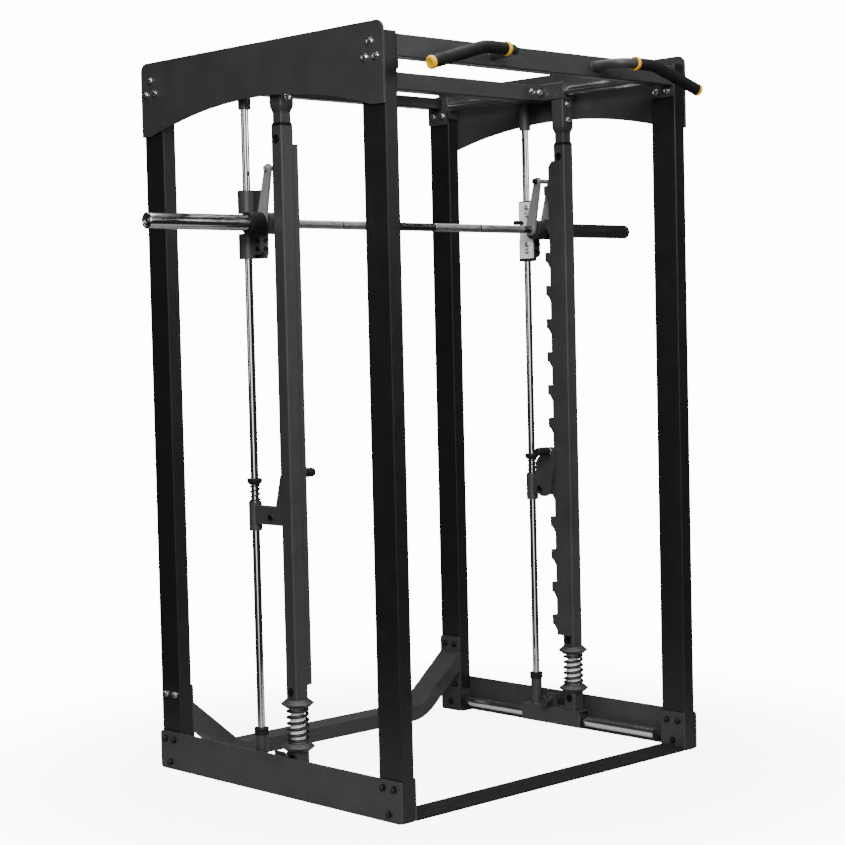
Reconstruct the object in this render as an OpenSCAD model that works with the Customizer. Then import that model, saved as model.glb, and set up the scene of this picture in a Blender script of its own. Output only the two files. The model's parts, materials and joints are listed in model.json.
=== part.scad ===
/* [Frame] */
// Width over the outer faces of the uprights
frame_w = 1355; // [1255:5:1455]
// Depth over the front and rear faces of the uprights
frame_d = 1175; // [1100:5:1275]
// Height of the uprights
frame_h = 2300; // [2250:5:2400]
// Upright section, across the machine
upright_w = 50; // [40:1:60]
// Upright section, front to back
upright_d = 100; // [90:1:110]
// Wall of the box sections
wall = 3; // [2:0.5:4]

/* [Side plates] */
// Thickness of the four side plates
plate_t = 8; // [6:1:10]
// Height of the arched upper side plates
upper_plate_h = 240; // [220:5:260]
// How far the upper plates stand above the uprights
plate_rise = 35; // [20:1:40]
// Rise of the arch under each upper plate
arch_rise = 75; // [50:5:90]
// Height of the lower side plates
lower_plate_h = 125; // [115:5:140]

/* [Cross members] */
// Height of the front top beam
beam_h = 66; // [56:1:72]
// Height of the bent tube of the rear brace
brace_h = 50; // [44:1:56]
// Slope of the two rising ends of the rear brace, in degrees
brace_slope = 40; // [35:1:45]
// Forward reach of the pull-up handles from the front beam
handle_reach = 117; // [105:1:130]

/* [Rails and rods] */
// Diameter of the four horizontal rails
rail_dia = 35; // [30:1:38]
// Diameter of the two vertical guide rods
rod_dia = 25; // [24:0.5:25]

/* [Notched columns] */
// Side of the square column tube
column_side = 50; // [49:1:52]
// Distance from one tooth to the next
tooth_pitch = 117; // [110:1:118]
// Depth of the notches
notch_depth = 22; // [20:1:26]

/* [Bar] */
// Overall length of the bar
bar_len = 2170; // [2100:10:2200]
// Height of the bar when it is racked
bar_z = 1785; // [1775:1:1795]
// Diameter of the knurled shaft
shaft_dia = 28; // [26:1:30]
// Diameter of the sleeves that take the weight plates
sleeve_dia = 50; // [49:0.5:50]

/* [Safety stops] */
// Height of the underside of the safety stops
stop_z = 826; // [822:1:830]
// Outer diameter of the stop sleeves on the guide rods
stop_dia = 42; // [38:1:44]

/* [Hidden] */

// Smoothness of round parts
$fn = 48;
// Gap between two pieces of one body that touch on a round face
seat_gap = 0.05;
// Radial gap of a moving fit
slide_gap = 0.05;

// Places along Y. The origin is under the middle of the whole machine.
plate_over = 2.5;
grip_r = 19;
cap_r = 20;
mid_y = (frame_d / 2 + handle_reach + cap_r - frame_d / 2 - plate_over) / 2;
front_y = mid_y - frame_d / 2;
rear_y = mid_y + frame_d / 2;
rod_y = mid_y + 108;
column_y = mid_y - 74;
bar_y = mid_y + 29;

// Places along X. Rails, rods and columns share one plane on each side.
upright_x = frame_w / 2 - upright_w / 2;
inner_x = frame_w / 2 - upright_w;
side_x = frame_w / 2 - 38.5;
plate_x = frame_w / 2;

// Side plates
upper_plate_z = frame_h + plate_rise - upper_plate_h;
half_plate = frame_d / 2 + plate_over;
arch_half = half_plate - 50;
arch_r = (arch_half * arch_half + arch_rise * arch_rise) / (2 * arch_rise);
plate_corner = 30;
low_corner = 10;

// Bolt groups at the corners of the frame
bolt_y = frame_d / 2 - upright_d / 2;
bolt_pair = 24;
low_pair_z = 100;
low_single_z = 24;
inner_single_z = 32;
front_bolt_drop = 84;
rear_bolt_drop = 68;
top_drop = 2;
brace_pair_z = 251;
top_single_z = frame_h - 24;
top_pair_z = frame_h - 68;
end_plate_t = 6;
beam_y = front_y + upright_d / 2;
beam_d = 50;

// Rear brace
brace_d = upright_d;
brace_end_h = 280;
brace_bend_x = 374;
brace_bend_r = 170;
brace_leg = 250;
end_x = inner_x - end_plate_t;
end_plate_corner = 8;

// Floor strip
strip_d = 110;
strip_t = 10;
strip_edge = 8;
strip_inset = 2;
rib_count = 4;
rib_h = 4;

// Pull-up handles
handle_r = 16;
handle_z = frame_h - 34;
handle_x = 232;
handle_bend = 53;
ring_w = 12;
grip_start_x = handle_x + handle_bend + ring_w + 2;
grip_flat = 62;
grip_bend_r = 160;
grip_drop = 16;
grip_tail = 200;

// Rails
rail_r = rail_dia / 2;
low_rail_z = 40;
top_rail_z = frame_h - 35;
rail_end = frame_d / 2 - upright_d - end_plate_t;
bumper_len = 30;
bumper_r = 25;

// Carriage
base_w = 60;
base_z = 17;
base_front = 125;
base_rear = 155;
base_wall = 4;
head_front = 106;
head_rear = 140;
head_z = top_rail_z - base_w / 2;
bush_len = 28;
bush_inset = 10;
socket_r = 20;
socket_h = 91;
rod_r = rod_dia / 2;
base_top = base_z + base_w;
ring_z = base_top + socket_h;
ring_h = 22;
post_side = 42;
post_wall = 4;
cap_side = 55;
cap_h = 95;
lug_reach = 74;
lug_t = 8;
lug_bolt_x = [14, 54];
head_end_t = 4;
head_bore = 20;
cross_w = 58;
cross_z = head_z - 2;
lock_y = mid_y + 25;
lock_z = 100;
lock_r = 6;
lock_lug_x = side_x - 10;
lock_lug_t = 8;
lock_lug_w = 46;
lock_lug_rise = 24;
lock_nut_r = 13;
lock_nut_t = 20;
base_hole_z = base_top + 41;
head_bolt_drop = [18, 72];

// Rack springs and the rims above and below them
rim_h = 26;
rim_r = 52;
rim_neck_r = 36;
low_rim_z = 141;
spring_z = low_rim_z + rim_h;
spring_h = 110;
spring_r = 31;
spring_wire = 5;
thick_guide_r = 25;
thick_guide_h = 86;
spring_turns = 6.25;
top_rim_z = spring_z + spring_h;
guide_r = 21.5;
guide_top = 345;
spigot_h = 30;

// Notched columns
column_z = top_rim_z + rim_h;
column_top = 2077;
column_gap = 1;
hole_r = 12;
low_hole_z = 327;
top_hole_z = 2037;
comb_t = 18;
comb_low = 345;
comb_top = 2021;
comb_cut = 16;
comb_cut_h = 18;
comb_floor = column_y + 34;
comb_front = column_y - 22;
comb_tip = comb_floor + notch_depth;
tooth_count = 14;
first_tooth_z = 1934;
tooth_face = 30;
tooth_root = 55;
comb_x = side_x - column_side / 2 - comb_t;

// Bar slides
housing_r = 29;
housing_bore = 20;
upper_housing = [1819, 72];
lower_housing = [1677, 79];
slide_plate_x = side_x - 36;
slide_plate_t = 6;
slide_plate_w = 62;
slide_plate_y = rod_y - 28;
slide_plate_inset = 7;
plate_bolt_y = rod_y - 35;
peg_y = rod_y - 12;
peg_z = bar_z + 28;
peg_r = 8.5;
peg_len = 40;
block_bolt_in = 10;
slide_bolt = [7, 5];
block_bolt = [6, 5];
web_t = 12;
web_w = 62;
hub_r = 34;
hub_x = side_x - 53;
hub_w = 48;
shaft_r = shaft_dia / 2;
web_x = slide_plate_x + slide_plate_t;
block_front = mid_y + 46;
block_rear = mid_y + 90;
block_t = 31;
block_low = 12;
block_cut = [10, 8];
block_bolt_z = [31, 58];
slide_low = lower_housing[0];
slide_high = upper_housing[0] + upper_housing[1];

// Bar and hooks
sleeve_r = sleeve_dia / 2;
sleeve_start = side_x + 67;
collar_r = 34;
collar_t = 10;
spacer_r = 22;
shaft_inset = 20;
sleeve_lip = 7;
sleeve_dish = 6;
arm_t = 10;
arm_low_r = 21;
arm_top_r = 14;
inner_arm_x = side_x - 69;
outer_arm_x = side_x + 1;
pin_r = 8;
pin_y = comb_tip + pin_r + 1;
pin_z = bar_z + 168;
pin_start = side_x - 74;
pin_end = side_x + 21;
pin_cap = 12;

// Safety stops
stop_h = 86;
stop_skirt = 6;
stop_arm_t = 28;
stop_arm_z = stop_z + 16;
stop_arm_h = 58;
stop_arm_front = column_y + column_side / 2 + 5;
horn_h = 100;
horn_root = 34;
horn_tip = 8;
pivot_boss_r = 14;
pivot_washer = [10, 7];
arm_boss = [9, 6];
pivot_y = mid_y + 10;
pivot_z = stop_z + 42;
pivot_r = 6;
latch_t = 12;
latch_x = comb_x - 2 - latch_t;
nose_r = 8;
nose_y = comb_tip + nose_r + 1;
nose_z = stop_z + 78;
latch_handle_y = mid_y - 34;
latch_handle_z = stop_z + 176;
lever_low = [mid_y + 2, pivot_z + 4];
lever_low_r = 34;
lever_top = [mid_y - 6, stop_z + 119];
lever_top_r = 43;
lever_end_r = 14;
latch_grip_r = 15;
latch_grip_len = 68;
latch_core_r = 7;
stop_spring_r = 15.5;
stop_spring_wire = 2.25;
stop_spring_h = 53;
stop_spring_turns = 4.25;
stop_bumper_r = 24;
stop_bumper_h = 20;
stop_bumper_z = stop_z + stop_h + stop_spring_h;

// Lock knobs
knob_r = 22;
knob_t = 18;
knob_x = lock_lug_x - 48;
nose_clear = 3.5;

charcoal = [0.24, 0.245, 0.25];
satin_black = [0.12, 0.12, 0.125];
rubber_black = [0.08, 0.08, 0.08];
chrome = [0.8, 0.81, 0.83];
silver = [0.68, 0.69, 0.7];
yellow = [0.92, 0.74, 0.06];

// ---- helpers ----

// A square with round corners, centred
module round_rect(w, d, r) {
    square([w - 2 * r, d], center = true);
    square([w, d - 2 * r], center = true);
    for (sx = [-1, 1], sy = [-1, 1])
        translate([sx * (w / 2 - r), sy * (d / 2 - r)])
            circle(r = r);
}

// A box tube along Z
module box_tube(w, d, h, t, r = 4) {
    linear_extrude(height = h)
        difference() {
            round_rect(w, d, r);
            round_rect(w - 2 * t, d - 2 * t, max(r - t, 0.8));
        }
}

// A rod or a tube along X, starting at x = 0
module rod_x(r, len, bore = 0) {
    rotate([0, 90, 0])
        difference() {
            cylinder(r = r, h = len);
            if (bore > 0)
                translate([0, 0, -1])
                    cylinder(r = bore, h = len + 2);
        }
}

// A rod or a tube along Y, starting at y = 0
module rod_y_axis(r, len, bore = 0) {
    rotate([-90, 0, 0])
        difference() {
            cylinder(r = r, h = len);
            if (bore > 0)
                translate([0, 0, -1])
                    cylinder(r = bore, h = len + 2);
        }
}

// A tube along Z, starting at z = 0
module tube_z(r, bore, h) {
    difference() {
        cylinder(r = r, h = h);
        translate([0, 0, -1])
            cylinder(r = bore, h = h + 2);
    }
}

// A flat profile drawn in Y and Z, thickened towards +X
module side_profile(t) {
    rotate([90, 0, 90])
        linear_extrude(height = t)
            children();
}

// A hexagon head on a washer, standing up along Z
module bolt_head(r = 9, h = 7) {
    cylinder(r = r + 2.5, h = 2);
    translate([0, 0, 2])
        cylinder(r = r, h = h, $fn = 6);
}

// Two circles of different size joined by their common tangents
module tapered_link(a, b, ra, rb) {
    dir = atan2(b[1] - a[1], b[0] - a[0]);
    len = norm(b - a);
    spread = acos((ra - rb) / len);
    translate(a)
        circle(r = ra);
    translate(b)
        circle(r = rb);
    polygon([
        a + ra * [cos(dir + spread), sin(dir + spread)],
        b + rb * [cos(dir + spread), sin(dir + spread)],
        b + rb * [cos(dir - spread), sin(dir - spread)],
        a + ra * [cos(dir - spread), sin(dir - spread)]
    ]);
}

// Both sides of the machine
module both_sides() {
    children();
    mirror([1, 0, 0])
        children();
}

// One side: 1 is the right, -1 is the left
module on_side(side) {
    if (side > 0)
        children();
    else
        mirror([1, 0, 0])
            children();
}

// Points of a coil: rings of wire_sides points that climb along Z
wire_sides = 8;
function coil_point(r, wire, turns, h, i, steps, j) =
    let (a = 360 * turns * i / steps, b = 360 * j / wire_sides, rr = r + wire * cos(b))
    [rr * cos(a), rr * sin(a), wire + (h - 2 * wire) * i / steps + wire * sin(b)];

module coil(r, wire, turns, h) {
    steps = ceil(turns * 20);
    points = [for (i = [0 : steps], j = [0 : wire_sides - 1]) coil_point(r, wire, turns, h, i, steps, j)];
    walls = [for (i = [0 : steps - 1], j = [0 : wire_sides - 1])
        [i * wire_sides + j, (i + 1) * wire_sides + j,
         (i + 1) * wire_sides + (j + 1) % wire_sides, i * wire_sides + (j + 1) % wire_sides]];
    first = [for (j = [0 : wire_sides - 1]) j];
    last = [for (j = [0 : wire_sides - 1]) steps * wire_sides + wire_sides - 1 - j];
    polyhedron(points = points, faces = concat(walls, [first, last]), convexity = 12);
}

// ---- frame ----

module upright(x, y) {
    color(satin_black)
        translate([x, y, 0])
            box_tube(upright_w, upright_d, frame_h, wall);
}

module front_left_upright() {
    upright(-upright_x, front_y + upright_d / 2);
}

module front_right_upright() {
    upright(upright_x, front_y + upright_d / 2);
}

module rear_left_upright() {
    upright(-upright_x, rear_y - upright_d / 2);
}

module rear_right_upright() {
    upright(upright_x, rear_y - upright_d / 2);
}

module upright_caps() {
    cap_t = 5;
    plug_h = 14;
    color(rubber_black)
        both_sides()
            for (y = [front_y + upright_d / 2, rear_y - upright_d / 2])
                translate([upright_x, y, frame_h]) {
                    linear_extrude(height = cap_t)
                        round_rect(upright_w, upright_d, 5);
                    translate([0, 0, -plug_h])
                        linear_extrude(height = plug_h)
                            round_rect(upright_w - 2 * wall - 0.4, upright_d - 2 * wall - 0.4, 1);
                }
}

module upper_plate() {
    top = frame_h + plate_rise;
    color(charcoal)
        translate([plate_x, mid_y, 0])
            side_profile(plate_t)
                difference() {
                    union() {
                        translate([-half_plate, upper_plate_z])
                            square([2 * half_plate, upper_plate_h - plate_corner]);
                        translate([-half_plate + plate_corner, upper_plate_z])
                            square([2 * (half_plate - plate_corner), upper_plate_h]);
                        for (s = [-1, 1])
                            translate([s * (half_plate - plate_corner), top - plate_corner])
                                circle(r = plate_corner);
                    }
                    translate([0, upper_plate_z + arch_rise - arch_r])
                        circle(r = arch_r);
                }
}

module left_upper_plate() {
    on_side(-1)
        upper_plate();
}

module right_upper_plate() {
    on_side(1)
        upper_plate();
}

module lower_plate() {
    color(charcoal)
        translate([plate_x, mid_y, lower_plate_h / 2])
            side_profile(plate_t)
                round_rect(2 * half_plate, lower_plate_h, low_corner);
}

module left_lower_plate() {
    on_side(-1)
        lower_plate();
}

module right_lower_plate() {
    on_side(1)
        lower_plate();
}

module end_plate(y, z, h) {
    translate([end_x, y, z + h / 2])
        side_profile(end_plate_t)
            round_rect(upright_d, h, end_plate_corner);
}

module front_beam() {
    len = 2 * end_x;
    plate_h = 104;
    color(charcoal) {
        translate([-len / 2, front_y + beam_d / 2, frame_h - top_drop - beam_h / 2])
            rotate([90, 0, 90])
                box_tube(beam_d, beam_h, len, wall);
        both_sides()
            end_plate(beam_y, frame_h - plate_h, plate_h);
    }
}

module rear_tube() {
    len = 2 * end_x;
    tube_h = 40;
    color(satin_black)
        translate([-len / 2, rear_y - upright_d / 2, frame_h - top_drop - tube_h / 2])
            rotate([90, 0, 90])
                    box_tube(beam_d, tube_h, len, wall, 4);
}

// The bent tube of the rear brace, pulled in by t for its hollow
module brace_solid(t) {
    depth = brace_d - 2 * t;
    height = brace_h - 2 * t;
    translate([0, rear_y - brace_d + t, 0]) {
        translate([-brace_bend_x, 0, t])
            cube([2 * brace_bend_x, depth, height]);
        intersection() {
            both_sides() {
                translate([brace_bend_x, depth, brace_bend_r])
                    rotate([90, 0, 0])
                        rotate([0, 0, -90])
                            rotate_extrude(angle = brace_slope, $fn = 120)
                                translate([brace_bend_r - brace_h + t, 0])
                                    square([height, depth]);
                translate([brace_bend_x, 0, brace_bend_r])
                    rotate([0, -brace_slope, 0])
                        translate([0, 0, t - brace_bend_r])
                            cube([brace_leg, depth, height]);
            }
            translate([-end_x, -1, -1])
                cube([2 * end_x, depth + 2, brace_end_h]);
        }
    }
}

module rear_brace() {
    color(charcoal) {
        difference() {
            brace_solid(0);
            brace_solid(wall);
        }
        both_sides()
            end_plate(rear_y - upright_d / 2, 0, brace_end_h);
    }
}

// End plates of the rear tube and the floor strip, and the seats of the rails
module frame_brackets() {
    seat_h = 80;
    tube_plate_h = 100;
    strip_plate_h = 128;
    color(charcoal)
        both_sides() {
            end_plate(rear_y - upright_d / 2, frame_h - tube_plate_h, tube_plate_h);
            end_plate(front_y + upright_d / 2, 0, strip_plate_h);
            for (y = [mid_y - rail_end - end_plate_t, mid_y + rail_end])
                for (z = [0, frame_h - seat_h])
                    translate([inner_x, y, z])
                        cube([upright_w, end_plate_t, seat_h]);
        }
}

module floor_strip() {
    len = 2 * end_x;
    gap = (strip_d - 2 * strip_edge) / rib_count;
    color(rubber_black)
        translate([-len / 2, front_y + strip_inset, 0]) {
            cube([len, strip_d, strip_t]);
            for (i = [0 : rib_count - 1])
                translate([0, strip_edge + (i + 0.5) * gap, strip_t])
                    rotate([90, 0, 90])
                        linear_extrude(height = len)
                            polygon([[-9, 0], [9, 0], [6, rib_h], [-6, rib_h]]);
        }
}

// Path of one pull-up handle: out of the beam, round a bend, along, then down
module handle_path(r, bore, from_beam) {
    stub = handle_reach - handle_bend;
    if (from_beam) {
        translate([handle_x, front_y - stub, handle_z])
            rod_y_axis(r, stub);
        translate([handle_x + handle_bend, front_y - stub, handle_z])
            rotate([0, 0, 180])
                rotate_extrude(angle = 90)
                    translate([handle_bend, 0])
                        circle(r = r);
    }
    start = from_beam ? handle_x + handle_bend : grip_start_x;
    flat = grip_start_x + grip_flat - start;
    translate([start, front_y - handle_reach, handle_z])
        rod_x(r, flat, bore);
    translate([grip_start_x + grip_flat, front_y - handle_reach, handle_z - grip_bend_r])
        rotate([-90, 0, 0])
            rotate([0, 0, -90])
                rotate_extrude(angle = grip_drop, $fn = 96)
                    translate([grip_bend_r, 0])
                        difference() {
                            circle(r = r);
                            if (bore > 0)
                                circle(r = bore);
                        }
    handle_tail()
        rod_x(r, grip_tail, bore);
}

// Puts its children at the start of the sloping tail of a handle
module handle_tail() {
    translate([grip_start_x + grip_flat + grip_bend_r * sin(grip_drop),
               front_y - handle_reach,
               handle_z - grip_bend_r * (1 - cos(grip_drop))])
        rotate([0, grip_drop, 0])
            children();
}

module pull_up_handles() {
    color(charcoal)
        both_sides()
            handle_path(handle_r, 0, true);
}

module pull_up_grips() {
    color(rubber_black)
        both_sides()
            handle_path(grip_r, handle_r + seat_gap, false);
}

module grip_caps() {
    color(yellow)
        both_sides() {
            translate([grip_start_x - ring_w, front_y - handle_reach, handle_z])
                rod_x(grip_r + 3, ring_w, handle_r + seat_gap);
            handle_tail()
                translate([grip_tail, 0, 0])
                    rotate([0, 90, 0])
                        rotate_extrude()
                            polygon([[0, 0], [cap_r, 0], [cap_r, 9], [cap_r - 5, 14], [0, 14]]);
        }
}

module lower_rails() {
    color(chrome)
        both_sides()
            translate([side_x, mid_y - rail_end, low_rail_z])
                rod_y_axis(rail_r, 2 * rail_end);
}

module upper_rails() {
    color(chrome)
        both_sides()
            translate([side_x, mid_y - rail_end, top_rail_z])
                rod_y_axis(rail_r, 2 * rail_end);
}

// Rubber rings at both ends of the lower rails
module rail_bumpers() {
    color(rubber_black)
        both_sides()
            for (s = [0, 1])
                translate([side_x, mid_y, low_rail_z])
                    mirror([0, s, 0])
                        translate([0, -rail_end, 0])
                            rotate([-90, 0, 0])
                                rotate_extrude()
                                    polygon([
                                        [rail_r + seat_gap, 0], [bumper_r - 3, 0], [bumper_r - 1, 4],
                                        [bumper_r - 1, bumper_len - 10], [bumper_r - 6, bumper_len],
                                        [rail_r + seat_gap, bumper_len]
                                    ]);
}

module silver_bolts() {
    out_x = plate_x + plate_t;
    in_x = end_x;
    color(silver)
        both_sides()
            for (s = [-1, 1]) {
                y = mid_y + s * bolt_y;
                translate([out_x, y, top_single_z])
                    rotate([0, 90, 0])
                        bolt_head();
                for (t = [-1, 1])
                    translate([out_x, y + t * bolt_pair, top_pair_z])
                        rotate([0, 90, 0])
                            bolt_head();
                for (t = [-1, 1])
                    translate([in_x, y + t * bolt_pair, frame_h - (s < 0 ? front_bolt_drop : rear_bolt_drop)])
                        rotate([0, -90, 0])
                            bolt_head();
                if (s > 0)
                    for (t = [-1, 1])
                        translate([plate_x, y + t * bolt_pair, brace_pair_z])
                            rotate([0, 90, 0])
                                bolt_head();
            }
}

module black_bolts() {
    out_x = plate_x + plate_t;
    in_x = end_x;
    color(rubber_black)
        both_sides()
            for (s = [-1, 1]) {
                y = mid_y + s * bolt_y;
                for (t = [-1, 1])
                    translate([out_x, y + t * bolt_pair, low_pair_z])
                        rotate([0, 90, 0])
                            bolt_head();
                translate([out_x, y, low_single_z])
                    rotate([0, 90, 0])
                        bolt_head();
                translate([in_x, y, inner_single_z])
                    rotate([0, -90, 0])
                        bolt_head();
                for (t = [-1, 1])
                    for (z = s < 0 ? [low_pair_z] : [low_pair_z, brace_pair_z])
                        translate([in_x, y + t * bolt_pair, z])
                            rotate([0, -90, 0])
                                bolt_head();
            }
}

// ---- carriage ----

// A rim made of two cones, as on both sides of a rack spring
module rim(bore) {
    rotate_extrude()
        polygon([
            [bore, 0], [rim_neck_r, 0], [rim_r - 2, rim_h / 2 - 2], [rim_r, rim_h / 2],
            [rim_r - 2, rim_h / 2 + 2], [rim_neck_r, rim_h], [bore, rim_h]
        ]);
}

module carriage_base() {
    color(charcoal)
        difference() {
            union() {
                translate([side_x, mid_y - base_front, base_z + base_w / 2])
                    rotate([-90, 0, 0])
                        box_tube(base_w, base_w, base_front + base_rear, base_wall, 5);
                translate([side_x, rod_y, base_top])
                    cylinder(r = socket_r, h = socket_h);
                translate([side_x, column_y, base_top])
                    linear_extrude(height = low_rim_z + 2 - base_top)
                        round_rect(column_side, column_side, 6);
                translate([side_x, column_y, low_rim_z])
                    rim(0);
                translate([lock_lug_x, lock_y - lock_lug_w / 2, base_top - 1])
                    cube([lock_lug_t, lock_lug_w, lock_z + lock_lug_rise - base_top]);
                translate([lock_lug_x - lock_nut_t, lock_y, lock_z])
                    rotate([0, 90, 0])
                        cylinder(r = lock_nut_r, h = lock_nut_t + 1, $fn = 6);
            }
            translate([side_x, rod_y, base_top])
                cylinder(r = rod_r + seat_gap, h = socket_h + 1);
            translate([side_x - column_side, column_y, base_hole_z])
                rod_x(hole_r, 2 * column_side);
            translate([lock_lug_x - lock_nut_t - 1, lock_y, lock_z])
                rod_x(lock_r + slide_gap, lock_nut_t + lock_lug_t + 2);
        }
}

module left_carriage_base() {
    on_side(-1)
        carriage_base();
}

module right_carriage_base() {
    on_side(1)
        carriage_base();
}

module carriage_head() {
    color(charcoal)
        difference() {
            union() {
                translate([side_x, mid_y - head_front, top_rail_z])
                    rotate([-90, 0, 0])
                        box_tube(base_w, base_w, head_front + head_rear, base_wall, 5);
                for (y = [mid_y - head_front, mid_y + head_rear - head_end_t])
                    translate([side_x, y, top_rail_z])
                        rotate([-90, 0, 0])
                            linear_extrude(height = head_end_t)
                                round_rect(base_w, base_w, 5);
                translate([side_x, rod_y, head_z - cap_h + 5])
                    cylinder(r = socket_r, h = cap_h - 5);
                translate([side_x, column_y, head_z - cap_h])
                    linear_extrude(height = cap_h)
                        round_rect(cap_side, cap_side, 5);
                translate([side_x - base_w / 2 - lug_reach, mid_y - lug_t, head_z + 3])
                    cube([lug_reach + 1, lug_t, base_w - 6]);
            }
            translate([side_x, mid_y - head_front - 1, top_rail_z])
                rod_y_axis(head_bore, head_front + head_rear + 2);
            translate([side_x, rod_y, head_z - cap_h])
                cylinder(r = rod_r + seat_gap, h = cap_h);
            translate([side_x, column_y, head_z - cap_h - 1])
                linear_extrude(height = cap_h + 1)
                    round_rect(post_side + 0.2, post_side + 0.2, 5);
        }
}

module left_carriage_head() {
    on_side(-1)
        carriage_head();
}

module right_carriage_head() {
    on_side(1)
        carriage_head();
}

module cross_beam() {
    len = 2 * (side_x - base_w / 2);
    color(charcoal)
        translate([-len / 2, mid_y + cross_w / 2, cross_z + cross_w / 2])
            rotate([90, 0, 90])
                box_tube(cross_w, cross_w, len, wall, 5);
}

module guide_rods() {
    color(chrome)
        both_sides()
            translate([side_x, rod_y, base_top])
                cylinder(r = rod_r, h = head_z - base_top);
}

module inner_posts() {
    color(charcoal)
        both_sides()
            translate([side_x, column_y, guide_top])
                box_tube(post_side, post_side, head_z - guide_top, post_wall, 5);
}

module spring_guides() {
    color(chrome)
        both_sides()
            translate([side_x, column_y, spring_z]) {
                tube_z(thick_guide_r, guide_r - 5, thick_guide_h);
                tube_z(guide_r, guide_r - 5, guide_top - spring_z);
                tube_z(guide_r - 4.6, guide_r - 7, guide_top - spring_z + spigot_h);
            }
}

module rod_rings() {
    color(rubber_black)
        both_sides()
            translate([side_x, rod_y, ring_z])
                rotate_extrude()
                    polygon([
                        [rod_r + seat_gap, 0], [socket_r + 2, 0], [socket_r + 4, 4],
                        [socket_r + 4, ring_h - 6], [socket_r, ring_h], [rod_r + seat_gap, ring_h]
                    ]);
}

module bush_pair(front, rear, z, drop) {
    side = base_w - 2 * base_wall - 0.2;
    for (y = [mid_y - front + bush_inset, mid_y + rear - bush_inset - bush_len])
        translate([side_x, y, z])
            rotate([-90, 0, 0])
                linear_extrude(height = bush_len)
                    difference() {
                        round_rect(side, side, 2);
                        translate([0, drop])
                            circle(r = rail_r + slide_gap);
                    }
}

module carriage_bushes() {
    color(rubber_black)
        both_sides() {
            bush_pair(base_front, base_rear, base_z + base_w / 2, base_z + base_w / 2 - low_rail_z);
            bush_pair(head_front, head_rear, top_rail_z, 0);
        }
}

module carriage_bolts() {
    front = column_y - cap_side / 2;
    color(silver)
        both_sides() {
            for (drop = head_bolt_drop)
                translate([side_x, front, head_z - drop])
                    rotate([90, 0, 0])
                        bolt_head();
            for (x = lug_bolt_x)
                translate([side_x - base_w / 2 - x, mid_y - lug_t, head_z + base_w / 2])
                    rotate([90, 0, 0])
                        bolt_head();
        }
}

// ---- racks ----

// One tooth of the notched bar, drawn in Y and Z with its top at z = 0
module tooth() {
    back = comb_floor - 1;
    lip = 3;
    polygon([
        [back, 0], [comb_tip - 7, 0], [comb_tip - 4, lip], [comb_tip, lip],
        [comb_tip, -tooth_face], [comb_tip - 8, -tooth_face - 3],
        [comb_floor + 6, -tooth_face - 14], [back, -tooth_root]
    ]);
}

module notched_column() {
    color(charcoal)
        difference() {
            union() {
                translate([side_x, column_y, column_z - 1])
                    linear_extrude(height = column_top - column_z + 1)
                        round_rect(column_side, column_side, 6);
                translate([side_x, column_y, top_rim_z])
                    rim(guide_r + 1);
                translate([comb_x, 0, 0])
                    side_profile(comb_t + 0.5)
                        union() {
                            polygon([
                                [comb_front, comb_low], [comb_floor, comb_low],
                                [comb_floor, comb_top - comb_cut_h], [comb_floor - comb_cut, comb_top],
                                [comb_front, comb_top]
                            ]);
                            for (i = [0 : tooth_count - 1])
                                translate([0, first_tooth_z - i * tooth_pitch])
                                    tooth();
                        }
            }
            translate([side_x, column_y, column_z - 2])
                linear_extrude(height = column_top)
                    round_rect(post_side + 2 * column_gap, post_side + 2 * column_gap, 5);
            for (z = [low_hole_z, top_hole_z])
                translate([side_x - column_side, column_y, z])
                    rod_x(hole_r, 2 * column_side);
        }
}

module left_notched_column() {
    on_side(-1)
        notched_column();
}

module right_notched_column() {
    on_side(1)
        notched_column();
}

module rack_spring(side) {
    color(rubber_black)
        translate([side * side_x, column_y, spring_z])
            coil(spring_r, spring_wire, spring_turns, spring_h);
}

module left_rack_spring() {
    rack_spring(-1);
}

module right_rack_spring() {
    rack_spring(1);
}

// ---- bar slides ----

// Two bearing housings on the guide rod, a web and a block beside them, and the hub of the bar
module bar_slide() {
    color(charcoal)
        difference() {
            union() {
                for (h = [upper_housing, lower_housing])
                    translate([side_x, rod_y, h[0]])
                        cylinder(r = housing_r, h = h[1]);
                translate([web_x, block_front, slide_low])
                    cube([web_t, web_w, slide_high - slide_low]);
                translate([hub_x, bar_y, bar_z])
                    rod_x(hub_r, hub_w);
                translate([web_x, 0, slide_low])
                    side_profile(block_t)
                        polygon([
                            [block_front, block_low + block_cut[1]], [block_front + block_cut[0], block_low],
                            [block_rear, block_low], [block_rear, lower_housing[1]],
                            [block_front, lower_housing[1]]
                        ]);
            }
            for (h = [upper_housing, lower_housing])
                translate([side_x, rod_y, h[0] - 1])
                    cylinder(r = housing_bore, h = h[1] + 2);
            translate([hub_x - 1, bar_y, bar_z])
                rod_x(shaft_r + slide_gap, hub_w + 2);
        }
}

module left_bar_slide() {
    on_side(-1)
        bar_slide();
}

module right_bar_slide() {
    on_side(1)
        bar_slide();
}

module slide_plates() {
    color(silver)
        both_sides()
            translate([slide_plate_x, 0, 0])
                side_profile(slide_plate_t)
                    difference() {
                        translate([slide_plate_y, (slide_low + slide_high) / 2 + 2])
                            round_rect(slide_plate_w, slide_high - slide_low - 2 * slide_plate_inset, 3);
                        translate([bar_y, bar_z])
                            circle(r = hub_r + 1);
                    }
}

module slide_bushes() {
    color(satin_black)
        both_sides()
            for (h = [upper_housing, lower_housing])
                translate([side_x, rod_y, h[0] + 2])
                    tube_z(housing_bore - seat_gap, rod_r + slide_gap, h[1] - 4);
}

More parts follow.
